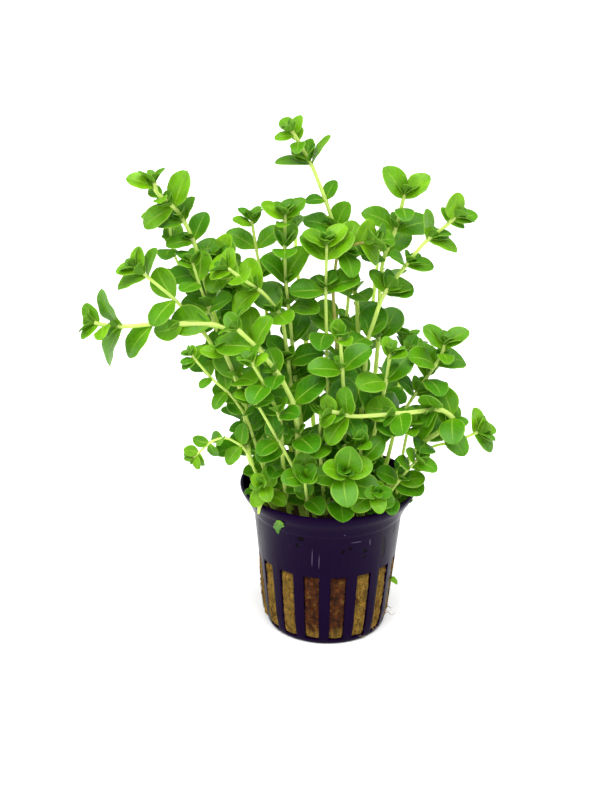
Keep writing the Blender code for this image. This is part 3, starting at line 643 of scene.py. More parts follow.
def nudged_points(shoots):
    """Every shoot's bends in metres, pushed apart until no two stems touch."""
    starts = np.cumsum([0] + [len(shoot.bends) for shoot in shoots])
    bends = np.array([bend[:3] for shoot in shoots for bend in shoot.bends], float) * MM
    rows = []
    owner = []
    for index, (first, after) in enumerate(zip(starts, starts[1:])):
        for place in range(first, after - 1):
            span = np.linalg.norm(bends[place + 1] - bends[place])
            steps = max(2, int(round(span / SAMPLE_STEP)))
            for step in range(steps):
                row = np.zeros(len(bends))
                row[place] = 1.0 - step / steps
                row[place + 1] = step / steps
                rows.append(row)
                owner.append(index)
    weights = np.array(rows)
    owner = np.array(owner)
    radius = 0.5 * np.array([shoot.thick for shoot in shoots])[owner] * MM
    want = radius[:, None] + radius[None, :] + STEM_SPACING
    in_wool = (weights @ bends)[:, 2] < WOOL_TOP + 0.002
    want[np.ix_(in_wool, in_wool)] = FOOT_SPACING
    other = owner[:, None] != owner[None, :]
    share = weights.sum(axis=0)
    for _ in range(60):
        samples = weights @ bends
        apart = samples[:, None, :] - samples[None, :, :]
        apart[:, :, 2] *= 0.5
        far = np.linalg.norm(apart, axis=2) + 1e-9
        short = np.where(other & (far < want), want - far, 0.0)
        out = np.hypot(samples[:, 0], samples[:, 1])
        inside = np.interp(samples[:, 2], *INNER_WALL) - radius - STEM_SPACING
        past = np.where((samples[:, 2] < POT_HEIGHT + STEM_SPACING) & (out > inside), out - inside, 0.0)
        if max(short.max(), past.max()) < SETTLED:
            break
        push = 0.5 * (apart / far[:, :, None] * short[:, :, None]).sum(axis=1)
        push -= samples * (past / out)[:, None]
        push[:, 2] = 0.0
        bends = bends + (weights.T @ push) / share[:, None] * 1.6
    return np.split(bends, starts[1:-1])


def light_at(point):
    """Where a leaf's face turns: up and outwards, to the front over most of the bunch."""
    turn = np.interp(point.y, (LIGHT_TURN_START, LIGHT_TURN_END), (-LIGHT_FRONT, LIGHT_BACK))
    side = LIGHT_SIDE * max(-1.0, min(1.0, point.x / HALF_WIDTH))
    return Vector((side, turn, LIGHT_HEIGHT))


def side_of(way, turn):
    """The direction across a stem, turned about it from the plane that faces the front."""
    level = way.cross(FRONT).normalized()
    return level * math.cos(turn) + way.cross(level) * math.sin(turn)


def blade(point, stem_way, side_way, spread, length, radius, pull):
    """A leaf that leaves the stem sideways and turns its face to the light."""
    along = (side_way * math.sin(spread) + stem_way * math.cos(spread)).normalized()
    face = stem_way * math.sin(spread) - side_way * math.cos(spread)
    face = face.normalized() + light_at(point) * LIGHT_PULL * pull
    face = (face - along * face.dot(along)).normalized()
    return Leaf(point + along * 0.15 * radius, along, face, length)


def leaf_nodes(stem):
    """The nodes up one stem where a pair of leaves grows, the tip first."""
    shoot = stem.shoot
    last = len(stem.points) - 1
    turn = shoot.turn
    nodes = []
    for index in range(1, last + 1):
        tip = index == last
        start = stem.points[index]
        way = (stem.points[min(index + 1, last)] - stem.points[min(index, last - 1)]).normalized()
        steps = 1
        if index < last:
            steps = max(1, int(round((stem.points[index + 1] - start).length / INTERNODE)))
        for step in range(steps):
            own = Bend(*shoot.bends[index]) if step == 0 else Bend()
            turn = turn + 90 if own.turn is None else own.turn
            point = start if tip else start.lerp(stem.points[index + 1], step / steps)
            if point.z < shoot.bare * MM:
                continue
            length = own.leaf or shoot.leaf * (TIP_LEAF_SHARE if tip else 1.0)
            spread = own.spread or (TIP_SPREAD if tip else LEAF_SPREAD)
            side = side_of(way, math.radians(turn))
            point = point + way * (-TIP_PAIR_DROP if tip else NODE_RISE)
            nodes.append(Node(point, way, side, stem.radii[index], length * MM, math.radians(spread),
                              own.pull or 1.0, own.lost))
    return nodes[::-1]


def alternatives(node, sign, length, spread):
    """The ways a leaf may stand, best first: as it grows, lifted, lowered, turned, then smaller."""
    for scale in (1.0, 0.82, 0.66):
        for lift in (0.0, 18.0, -16.0, 32.0):
            for turn in (0.0, 24.0, -24.0):
                angle = math.radians(turn)
                side = node.side * sign
                side = side * math.cos(angle) + node.way.cross(side) * math.sin(angle)
                out = FRONT if node.point.y < LIGHT_TURN_START else -FRONT
                lean = spread + LEAN_TO_LIGHT * side.dot(out) - math.radians(lift)
                yield blade(node.point, node.way, side, lean, length * scale, node.radius, node.pull)


def grown_leaves(stem, solid, chance):
    """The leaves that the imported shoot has: a leaf is there if its tip is a corner of the solid."""
    leaves = []
    for node in leaf_nodes(stem):
        for sign in (1.0, -1.0):
            length = node.length * chance.uniform(0.90, 1.06)
            spread = node.spread + math.radians(chance.uniform(-8.0, 8.0))
            if chance.random() < MISSING_SHARE and node.lost is None or sign == node.lost:
                continue
            ways = list(alternatives(node, sign, length, spread))
            tips = np.array([leaf.base + leaf.along * leaf.length for leaf in ways])
            far = np.linalg.norm(tips[:, None] - solid[None], axis=2).min(axis=1)
            found = np.nonzero(far < SAME_POINT)[0]
            if len(found):
                leaves.append((ways[found[0]], node))
    return leaves


# The dressed pieces

def rounded_path(stem):
    """The stem's line with each bend rounded by a short curve, and the radius along it.

    Each bend is replaced by points of the quadratic curve from a little before it to a little after.
    """
    corners = np.array(stem.points)
    spans = np.linalg.norm(np.diff(corners, axis=0), axis=1)
    share = np.linspace(0.0, 1.0, BEND_POINTS)[:, None]
    points = [corners[:1]]
    for before, at, after, first, second in zip(corners, corners[1:], corners[2:], spans, spans[1:]):
        reach = min(BEND_REACH, 0.4 * first, 0.4 * second)
        start = at + (before - at) * reach / first
        end = at + (after - at) * reach / second
        points.append((1 - share) ** 2 * start + 2 * share * (1 - share) * at + share ** 2 * end)
    points = np.concatenate(points + [corners[-1:]])
    radii = np.repeat(stem.radii, [1] + [BEND_POINTS] * (len(corners) - 2) + [1])
    along = np.concatenate(([0.0], np.cumsum(np.linalg.norm(np.diff(points, axis=0), axis=1))))
    rings = np.linspace(0.0, along[-1], max(24, int(along[-1] / RING_STEP)))
    path = np.stack([np.interp(rings, along, points[:, axis]) for axis in range(3)], axis=1)
    return path, np.interp(rings, along, radii), rings


def leaf_outline(place, small):
    """A leaf's half width, 0 to 1, along its length: a sine bent to the tip, narrow at the foot."""
    bend = np.where(small, 1.05, 1.20)
    full = np.sin(math.pi * np.clip(place, 0.0, 1.0) ** bend) ** 0.52
    return full * (1.0 - 0.52 * np.exp(-place / 0.10))


def leaf_sheets(leaves, settings, draw, rows, half_columns):
    """Closed lens-shaped leaf blades, of shape (leaves, rows, columns, 3), with their UVs.

    Along the leaf the blade rises a little and then bends back. Across, its halves fold up along
    the midrib and rise with the square of the distance from it, and its rim waves. The columns run
    over the top from one edge to the other and back under it.
    """
    base, along, face = (np.array([leaf[part] for leaf in leaves])[:, None, None] for part in range(3))
    length = np.array([leaf.length for leaf in leaves])[:, None, None]
    across = np.cross(face, along)
    row = np.linspace(0.0, 1.0, rows)
    place = ((0.5 - 0.5 * np.cos(np.linspace(0.0, math.pi, rows))) * 0.6 + row * 0.4)[:, None]
    over = np.sin(np.linspace(-1.0, 1.0, half_columns + 1) * math.pi / 2)
    out = np.concatenate([over, over[-2:0:-1]])
    top = np.concatenate([np.ones(half_columns + 1), -np.ones(half_columns - 1)])

    def drawn(low, high):
        return draw.uniform(low, high, length.shape)

    width = length * LEAF_WIDTH_SHARE * drawn(0.94, 1.08)
    outline = leaf_outline(place, length < SMALL_LEAF)
    droop = settings.droop * drawn(0.2, 1.8)
    cup = settings.cup * drawn(-0.2, 1.7)
    fold = settings.fold * drawn(0.0, 1.6)
    skew = drawn(-0.06, 0.06)
    wave = drawn(0.0, RIM_WAVE_SHARE) * width
    phase = drawn(0.0, math.tau)
    lift = length * (RISE_SHARE * np.sin(math.pi * place) - droop * place ** DROOP_POWER)
    lift = lift + width * outline * (cup * out ** 2 * 0.5 + fold * np.abs(out))
    lift = lift - GROOVE_SHARE * width * np.exp(-(out / GROOVE_REACH) ** 2) * outline
    lift = lift + wave * np.sin(place * RIM_WAVES + phase + 2.0 * out) * np.abs(out) ** 3 * outline
    thick = settings.thickness * np.sqrt(np.clip(1.0 - out ** 4, 0.0, 1.0)) * np.minimum(1.0, outline * 2)
    rib = 0.5 * settings.thickness * np.exp(-(out / RIB_REACH) ** 2) * (1.0 - place) * (top < 0)
    lift = lift + 0.5 * thick * top - rib - LEAF_SINK
    side = out * (0.5 * width * outline) + skew * length * np.sin(math.pi * place)
    parts = ((along, length * place), (across, side), (face, lift))
    points = base + sum(way * far[..., None] for way, far in parts)
    return points, stacked(place, 0.5 + 0.5 * out), (top < 0) * 1.0


def tip_sprig(stem, draw):
    """The smallest pairs of leaves, folded round a shoot's tip."""
    way = (stem.points[-1] - stem.points[-2]).normalized()
    full = min(1.0, stem.shoot.leaf / FULL_SHOOT_LEAF)
    sprig = []
    turn = draw.uniform(0.0, math.tau)
    for pair, (length, spread) in enumerate(SPRIG_PAIRS):
        turn += math.radians(90)
        for sign in (1.0, -1.0):
            side = side_of(way, turn) * sign
            angle = math.radians(spread) + draw.uniform(-0.12, 0.12)
            along = (side * math.sin(angle) + way * math.cos(angle)).normalized()
            face = (way * math.sin(angle) - side * math.cos(angle)).normalized()
            base = stem.points[-1] - way * (TIP_DROP - 0.0002 * pair)
            sprig.append(Leaf(base, along, face, full * length * draw.uniform(0.85, 1.1)))
    return sprig


def axil_leaves(leaves, draw):
    """Two small new leaves between the stem and about half of the full leaves."""
    small = []
    for leaf, node in leaves:
        if node.length < SMALL_LEAF or draw.random() < AXIL_BARE_SHARE:
            continue
        side = (leaf.along - node.way * leaf.along.dot(node.way)).normalized()
        length = draw.uniform(*AXIL_LENGTHS)
        for sign in (1.0, -1.0):
            turned = Matrix.Rotation(sign * draw.uniform(0.5, 1.1), 3, node.way) @ side
            small.append(blade(node.point + node.way * AXIL_RISE, node.way, turned,
                               draw.uniform(0.45, 0.8), length, node.radius, 0.5))
    return small


def filling_leaves(stem, draw):
    """Small leaves on the shaded length of a stem, between the wool and its first full pair."""
    small = []
    turn = draw.uniform(0.0, math.tau)
    for first, second in zip(stem.points, stem.points[1:]):
        way = (second - first).normalized()
        steps = max(1, int((second - first).length / SHADE_STEP))
        for step in range(steps):
            point = first.lerp(second, (step + draw.uniform(0.1, 0.9)) / steps)
            turn += math.radians(90)
            if not SHADE_START < point.z < stem.shoot.bare * MM - 0.002:
                continue
            for sign in (1.0, -1.0):
                if draw.random() < SHADE_BARE_SHARE:
                    continue
                side = side_of(way, turn) * sign
                length = draw.uniform(*SHADE_LENGTHS)
                small.append(blade(point, way, side, draw.uniform(0.8, 1.3), length, stem.radii[0], 1.0))
    return small


def pot_profile():
    """The pot's section as (radius, height) from the middle of the floor, out, up, over and down."""
    lip = [(LIP_RADIUS - WALL + 0.0002, POT_HEIGHT - LIP_HEIGHT),
           (RIM_RADIUS - 0.0009, POT_HEIGHT - 0.0002), (RIM_RADIUS - 0.0006, POT_HEIGHT),
           (RIM_RADIUS - 0.0002, POT_HEIGHT - 0.0001), (RIM_RADIUS, POT_HEIGHT - 0.0005),
           (RIM_RADIUS - 0.0001, POT_HEIGHT - 0.0012)]
    share = np.linspace(0.0, 1.0, 7)[1:]
    flare = [(LIP_RADIUS + (COLLAR_FOOT_RADIUS - LIP_RADIUS) * s ** 0.8,
              POT_HEIGHT - LIP_HEIGHT + (COLLAR_FOOT - POT_HEIGHT + LIP_HEIGHT) * s) for s in share]
    inner = [(0.0, FLOOR), (CORNER_RADIUS - WALL - 0.0006, FLOOR), (CORNER_RADIUS - WALL, FLOOR + 0.0006),
             (BODY_FOOT_RADIUS - WALL, BODY_FOOT), (BODY_TOP_RADIUS - WALL, BODY_TOP)]
    outer = [(BODY_TOP_RADIUS, BODY_TOP), (BODY_FOOT_RADIUS, BODY_FOOT),
             (CORNER_RADIUS, CORNER_HEIGHT), (CORNER_RADIUS - 0.0004, 0.0008), (BASE_RADIUS, 0.0002),
             (BASE_RADIUS - 0.0003, 0.0), (0.0, 0.0)]
    return np.array(inner + lip + [(LIP_RADIUS, POT_HEIGHT - LIP_HEIGHT)] + flare + outer)


def wedge(near, far, low, high, low_width, high_width, turn):
    """A closed block with a width at its foot and at its top, turned about Z, as a hidden cutter."""
    corners = np.array([(x, side * 0.5 * width, z) for z, width in ((low, low_width), (high, high_width))
                        for x, side in ((near, -1), (far, -1), (far, 1), (near, 1))])
    mesh = bpy.data.meshes.new("wedge")
    sides = [(k, (k + 1) % 4, (k + 1) % 4 + 4, k + 4) for k in range(4)]
    mesh.from_pydata(corners.tolist(), [], [(3, 2, 1, 0), (4, 5, 6, 7)] + sides)
    mesh.transform(Matrix.Rotation(turn, 4, "Z"))
    return bpy.data.objects.new("wedge", mesh)


def turned_points(profile, columns):
    """A profile turned about Z: each column is the profile at its own angle."""
    turn = np.linspace(0.0, math.tau, columns, endpoint=False)
    radius, height = profile[:, 0, None], profile[:, 1, None]
    return round_axis(radius, turn, height)


def wall_inside(z):
    """The radius of the pot's inner wall at a height."""
    heights = (FLOOR, BODY_FOOT, BODY_TOP, POT_HEIGHT)
    radii = (CORNER_RADIUS, BODY_FOOT_RADIUS, BODY_TOP_RADIUS, RIM_RADIUS - RIM_EDGE)
    return np.interp(z, heights, radii) - WALL


def wall_outside(z):
    """The radius of the pot's outer wall at a height."""
    heights = (0.0, CORNER_HEIGHT, BODY_FOOT, BODY_TOP, COLLAR_FOOT, POT_HEIGHT - LIP_HEIGHT, POT_HEIGHT)
    radii = (BASE_RADIUS, CORNER_RADIUS, BODY_FOOT_RADIUS, BODY_TOP_RADIUS, COLLAR_FOOT_RADIUS,
             LIP_RADIUS, RIM_RADIUS)
    return np.interp(z, heights, radii)


def slot_share(turn, z):
    """1 in the middle of a slot, falling smoothly to 0 at its edges."""
    period = math.tau / SLOT_COUNT
    off = (turn - SLOT_TURN + 0.5 * period) % period - 0.5 * period
    width = np.interp(z, (SLOT_FOOT, SLOT_TOP), (SLOT_FOOT_WIDTH, SLOT_TOP_WIDTH))
    across = np.clip(1.0 - (off * wall_inside(z) / (0.53 * width)) ** 2, 0.0, 1.0)
    down = np.clip((SLOT_TOP - 0.0004 - z) / 0.0016, 0.0, 1.0)
    down = down * np.clip((z - SLOT_FOOT) / 0.0012, 0.0, 1.0)
    return across ** 0.3 * down ** 0.4


def wool_radius(turn, z, bulge):
    """The wool's radius: just inside the wall, standing out in the slots, with lumps and pits.

    At the left it stands out past the wall.
    """
    share = slot_share(turn, z)
    left = np.clip(-np.cos(turn) * 1.6 - 0.5, 0.0, 1.0) * np.clip((0.021 - z) / 0.008, 0.0, 1.0)
    bulge = bulge + WOOL_LEFT_BULGE * left
    inside = wall_inside(z) - GAP
    spot = round_axis(inside, turn, z)
    lumps = sum(high * ripple(spot, scale, seed) for high, scale, seed in WOOL_LUMPS)
    return inside + share * (bulge + WOOL_RELIEF * lumps) - (1.0 - share) * 0.00015


def plastic_material(settings):
    """Moulded dark violet plastic: faint flow streaks, small dents, dust, and pale marks on the front."""
    paint = Paint("moulded_plastic")
    x, y, z = paint.parts(paint.position())
    streaks = paint.noise(1.0, 4.0, 0.6, paint.stretched((900.0, 900.0, 60.0)))
    cloud = paint.noise(120.0, 3.0)
    ragged = paint.noise(1500.0, 3.0) * 1.4
    front = 1.0 - paint.step(y, -0.004, -0.003)
    pits = front * sum(spot(paint, x, z, *mark, ragged) for mark in DARK_MARKS)
    pale_marks = front * sum(spot(paint, x, z, *mark, ragged) for mark in PALE_MARKS)
    dust = paint.step(paint.noise(900.0, 2.0), 0.68, 0.74) * 0.30
    base = Vector(settings.plastic)
    colour = paint.layered(base, (streaks * 0.45, base * 1.6), (cloud * 0.4, base * 1.3),
                           (pits * 0.95, base * 0.12), (pale_marks * 0.5, (0.16, 0.13, 0.20)),
                           (dust * 0.30, (0.030, 0.022, 0.045)))
    rough = 0.15 + streaks * 0.06 + cloud * 0.05 + dust * 0.2
    relief = streaks * 0.30 + cloud * 0.5 - pits * 1.0
    return paint.finished(colour, rough, relief, 0.00010, 0.6, 0.018)


def spot(paint, x, z, middle, height, width, tall, ragged):
    """1 inside an oval on the front of the pot, in millimetres, with a ragged edge."""
    across = (x - middle * MM) / (0.5 * width * MM)
    up = (z - height * MM) / (0.5 * tall * MM)
    return 1.0 - paint.step(across * across + up * up + ragged, 1.2, 2.0)


def wool_material(settings):
    """Matted mineral fibre: olive-tan, stained red-brown at the front and in blotches, with painted shade
    darkening its top down in the pot under the leaves.
    """
    paint = Paint("matted_rock_wool")
    x, y, z = paint.parts(paint.position())
    blotch = paint.noise(250.0, 4.0, 0.6)
    clump = paint.noise(480.0, 4.0, 0.65)
    fine = paint.noise(1700.0, 5.0, 0.75)
    strands = paint.noise(1.0, 5.0, 0.7, paint.stretched((1500.0, 1500.0, 330.0)))
    middle = 1.0 - paint.step(abs(x + 0.0007), 0.0072, 0.0100)
    front = (1.0 - paint.step(y, -0.014, -0.010)) * middle
    clean_foot = 1.0 - paint.step(z + blotch * 0.006, 0.0060, 0.0100)
    stain = front * (1.0 - clean_foot * 0.75) * (0.62 + blotch * 0.5)
    stain = stain + paint.step(blotch, 0.56, 0.68) * 0.6
    tan, rust = Vector(settings.tan), Vector(settings.rust)
    grain = paint.step(fine * 0.30 + clump * 0.35 + strands * 0.35, 0.40, 0.60)
    stained = paint.layered(rust * 0.25, (grain, rust * 1.8),
                            (paint.step(clump, 0.55, 0.64) * 0.65, tan * 0.85))
    # Painted shade: the top of the wool, down in the pot under the leaves, is darkened to near black.
    painted_shade_top = paint.step(z, WOOL_TOP - 0.0042, WOOL_TOP - 0.0020)
    colour = paint.layered(tan * 0.35, (grain, tan * 1.45),
                           (paint.step(clump, 0.56, 0.68) * 0.75, (0.090, 0.028, 0.006)),
                           (paint.step(stain, 0.15, 0.85), stained),
                           (paint.step(strands, 0.60, 0.80) * 0.40, tan * 1.8),
                           (painted_shade_top * 0.72, (0.030, 0.020, 0.010)))
    relief = fine * 0.6 + strands * 0.8 + clump * 0.8
    return paint.finished(colour, 0.95, relief, 0.0004, 0.9, 0.2)


def leaf_material(settings):
    """A soft waxy leaf: pale midrib, faint side veins, a pale thin edge painted on as light shining
    through the rim, and a paler under side.

    The leaf map runs along the blade and across it, and the tone map holds how young a leaf is, partly
    painted shade and light by height in the bunch, and whether a point is on the under side.
    """
    paint = Paint("rotala_leaf")
    along, across = paint.map("leaf")
    youth_and_light, under = paint.map("tone")
    off = abs(across - 0.5) * 2.0
    rib = 1.0 - paint.step(off + along * 0.07, 0.030, 0.125)
    veins = abs((along * 6.5 - off * 1.9).fraction() - 0.5) * 2.0
    veins = paint.step(veins, 0.80, 0.97) * (1.0 - paint.step(off, 0.75, 0.98))
    # Painted light: the pale thin edge stands for light shining through the leaf's thin rim.
    edge = paint.step(off, 0.86, 0.96)
    cells = paint.noise(2400.0, 2.0)
    patches = paint.noise(330.0, 3.0, 0.55)
    grown, young, midrib = Vector(settings.grown), Vector(settings.young), Vector(settings.midrib)
    colour = paint.layered(grown, (paint.step(youth_and_light + patches * 0.30 - 0.15, 0.0, 1.0), young),
                           (cells * 0.12, young * 0.8),
                           (paint.step(patches, 0.35, 0.65) * 0.42, grown * 0.60),
                           (paint.step(along, 0.40, 0.0) * 0.40, young * 1.15),
                           (veins * 0.13, midrib), (edge * 0.50, midrib),
                           (under * 0.62, Vector(settings.underside)), (rib * 0.62, midrib))
    rough = 0.30 + cells * 0.14 + under * 0.20
    relief = cells * 0.25 - veins * 0.5 - rib * 0.9 + patches * 0.9
    paint.shine_through(grown.lerp(young, 0.4).lerp(Vector(LEAF_GLOW), 0.35), 0.28)
    return paint.finished(colour, rough, relief, 0.00012, 0.7, 0.26)


def stem_material(settings):
    """A juicy lime-yellow stem, greener in streaks and towards its foot, and browned on a few shoots."""
    paint = Paint("rotala_stem")
    tint, brown = paint.map("tone")
    streaks = paint.noise(1.0, 3.0, 0.5, paint.stretched((1500.0, 1500.0, 160.0)))
    blotch = paint.noise(260.0, 3.0)
    stem, green = Vector(settings.stem), Vector(STEM_GREEN)
    colour = paint.layered(stem, (streaks * 0.5 + blotch * 0.2, green), (tint * 0.6, green),
                           (brown * (0.5 + blotch * 0.6), (0.330, 0.130, 0.045)))
    relief = streaks * 0.8 + blotch * 0.4
    paint.shine_through(stem.lerp(green, 0.4), 0.45)
    return paint.finished(colour, 0.34 + blotch * 0.15, relief, 0.0001, 0.6, 0.25)


def root_material(settings):
    """Thin brown roots, paler in places."""
    paint = Paint("fine_root")
    shade = paint.noise(500.0, 3.0)
    root = Vector(settings.root_colour)
    return paint.finished(paint.mix(shade, root * 0.5, root * 1.8), 0.8, shade, 0.0001, 0.6)


def floor_material(settings):
    """A plain pale studio floor."""
    paint = Paint("studio_floor")
    grain = paint.noise(40.0, 2.0)
    floor = Vector(settings.floor)
    return paint.finished(paint.mix(grain, floor * 0.995, floor), 0.85)


class ROTALA_OT_net_pot(bpy.types.Operator):
    """Turn the net pot's section and cut its wall slots and floor slits"""
    bl_idname = "rotala.net_pot"
    bl_label = "Net pot"

    def execute(self, context):
        settings = context.scene.rotala_pot
        sheets = Sheets()
        sheets.add(turned_points(pot_profile(), settings.columns))
        pot = sheets.piece("moulded_pot", [plastic_material(settings)], "pot_plastic", "net_pot")
        cutters = bpy.data.collections.new("pot_cutters")
        for count, first, *sizes in OPENINGS:
            for index in range(count):
                cutters.objects.link(wedge(*sizes, first + index * math.tau / count))
        add_modifier(pot, "BOOLEAN", operation="DIFFERENCE", solver="EXACT",
                     operand_type="COLLECTION", collection=cutters)
        add_modifier(pot, "BEVEL", width=settings.edge, segments=2, limit_method="ANGLE",
                     angle_limit=math.radians(40))
        bake_modifiers(pot)
        for cutter in list(cutters.objects):
            bpy.data.objects.remove(cutter, do_unlink=True)
        bpy.data.collections.remove(cutters)
        pot.data.shade_smooth()
        pot.data.set_sharp_from_angle(angle=math.radians(35))
        return {"FINISHED"}


def add_modifier(piece, kind, **settings):
    """A modifier with its settings."""
    modifier = piece.modifiers.new(kind.lower(), kind)
    for name, value in settings.items():
        setattr(modifier, name, value)


def bake_modifiers(piece):
    """Give a piece the mesh that its modifiers make."""
    depsgraph = bpy.context.evaluated_depsgraph_get()
    mesh = bpy.data.meshes.new_from_object(piece.evaluated_get(depsgraph))
    piece.modifiers.clear()
    piece.data = mesh


class ROTALA_OT_rock_wool(bpy.types.Operator):
    """Shape the rock wool, bulging in the slots, with loose fibres on it"""
    bl_idname = "rotala.rock_wool"
    bl_label = "Rock wool"

    def execute(self, context):
        settings = context.scene.rotala_wool
        turn = np.linspace(0.0, math.tau, WOOL_COLUMNS, endpoint=False)[None]
        z = np.linspace(FLOOR + GAP, WOOL_TOP - 0.0012, WOOL_ROWS)[:, None]
        radius = wool_radius(turn, z, settings.bulge)
        side = round_axis(radius, turn, z)
        rings = np.linspace(0.0, 1.0, WOOL_RINGS + 1)[1:, None]
        top_radius = radius[-1:] * (1.0 - rings)
        spot = round_axis(top_radius, turn, 0.0)
        lumps = 0.6 * ripple(spot, 150.0, 11) + 0.35 * ripple(spot, 420.0, 12)
        height = WOOL_TOP - 0.0006 + 0.0007 * lumps - 0.0006 * (1.0 - np.minimum(1.0, rings * 8))
        height = np.minimum(height, WOOL_TOP + 0.0004)
        height[-1] = height[-1].mean()
        top = round_axis(top_radius, turn, height)
        under = side[:1] * np.array((0.0, 0.0, 1.0))
        sheets = Sheets()
        sheets.add(np.concatenate([under, side, top]))
        add_fibres(sheets, settings)
        sheets.piece("fibrous_rock_wool", [wool_material(settings)], "rock_wool", "rock_wool")
        return {"FINISHED"}


def add_fibres(sheets, settings):
    """Short loose fibres that lie on the wool: each a thin bent tube that follows its surface."""
    draw = np.random.default_rng(21)
    share = np.linspace(-0.5, 0.5, FIBRE_POINTS)
    for _ in range(settings.fibres):
        slot = draw.integers(SLOT_COUNT)
        turn = SLOT_TURN + (slot + draw.uniform(-0.19, 0.19)) * math.tau / SLOT_COUNT
        z = draw.uniform(SLOT_FOOT + 0.0012, SLOT_TOP - 0.0012)
        length = draw.uniform(0.0012, 0.0036)
        heading = draw.uniform(-1.3, 1.3) + draw.uniform(-0.8, 0.8) * share
        heights = np.clip(z + length * share * np.cos(heading), SLOT_FOOT + 0.0004, SLOT_TOP - 0.0006)
        turns = turn + length * share * np.sin(heading) / BODY_FOOT_RADIUS
        radii = wool_radius(turns, heights, settings.bulge) + draw.uniform(0.0, 0.00022)
        thick = settings.fibre * draw.uniform(0.6, 1.5) * (1.0 - 1.2 * share ** 2)
        sheets.add(sweep(round_axis(radii, turns, heights), thick, 3))


class ROTALA_OT_shoots(bpy.types.Operator):
    """Grow the stems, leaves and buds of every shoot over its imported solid"""
    bl_idname = "rotala.shoots"
    bl_label = "Shoots"

    def execute(self, context):
        settings = context.scene.rotala_shoots
        paints = [leaf_material(settings), stem_material(settings)]
        chance = random.Random(SEED)
        for index, points in enumerate(nudged_points(SHOOTS)):
            stem = Stem("shoot_%02d" % (index + 1), SHOOTS[index], points)
            mesh = frame["nodes"][stem.name].data
            solid = np.empty(3 * len(mesh.vertices))
            mesh.vertices.foreach_get("co", solid)
            leaves = grown_leaves(stem, solid.reshape(-1, 3), chance)
            draw = np.random.default_rng(100 + index)
            sheets = Sheets()
            self.add_stem(sheets, stem, leaves, index)
            self.add_leaves(sheets, stem, leaves, settings, draw, index)
            sheets.piece("leafy_" + stem.name, paints, "shoot", stem.name)
        return {"FINISHED"}

    def add_stem(self, sheets, stem, leaves, index):
        """The stem as a swept tube, a little thicker at its joints and drawn in to its bud."""
        path, radius, along = rounded_path(stem)
        joints = np.array([node.point for _, node in leaves] or [stem.points[-1]])
        near = np.linalg.norm(path[:, None] - joints[None], axis=2).min(axis=1)
        radius = radius * (0.94 + 0.22 * np.exp(-(near / 0.0008) ** 2))
        brown = 0.85 if index + 1 in BROWN_SHOOTS else 0.0
        tint = np.clip(1.0 - along / along[-1], 0.0, 1.0) ** 2 * 0.5
        tint = np.concatenate([tint[:1], tint, tint[-1:]])
        sheets.add(sweep(path, radius, STEM_SIDES, 0.06), tone=stacked(tint[:, None], brown), slot=1)

    def add_leaves(self, sheets, stem, leaves, settings, draw, index):
        """Full leaves, the small ones at the tip and those on the shaded part of the stem."""
        groups = (([leaf for leaf, _ in leaves], FULL_GRID, None),
                  (tip_sprig(stem, draw), SPRIG_GRID, SPRIG_YOUTH),
                  (axil_leaves(leaves, draw), SMALL_GRID, AXIL_YOUTH),
                  (filling_leaves(stem, draw), SMALL_GRID, SHADE_YOUTH))
        for group, grid, youth_and_light in groups:
            if not group:
                continue
            points, uv, under = leaf_sheets(group, settings, draw, *grid)
            high = np.array([leaf.base.z for leaf in group])
            if youth_and_light is None:
                top = stem.points[-1].z
                # Darker further below the tip, partly for the leaves' age and partly as painted shade
                # inside the bunch; leaves above 90 mm get painted light.
                youth_and_light = 0.42 - 0.9 * np.clip((top - high) / 0.05, 0.0, 0.4) + 0.15 * (high > 0.09)
                youth_and_light = youth_and_light + BRIGHT_SHOOTS.get(index + 1, 0.0)
            youth_and_light = youth_and_light + draw.uniform(-0.24, 0.22, len(group))
            sheets.add(points, uv, stacked(youth_and_light[:, None, None], under))


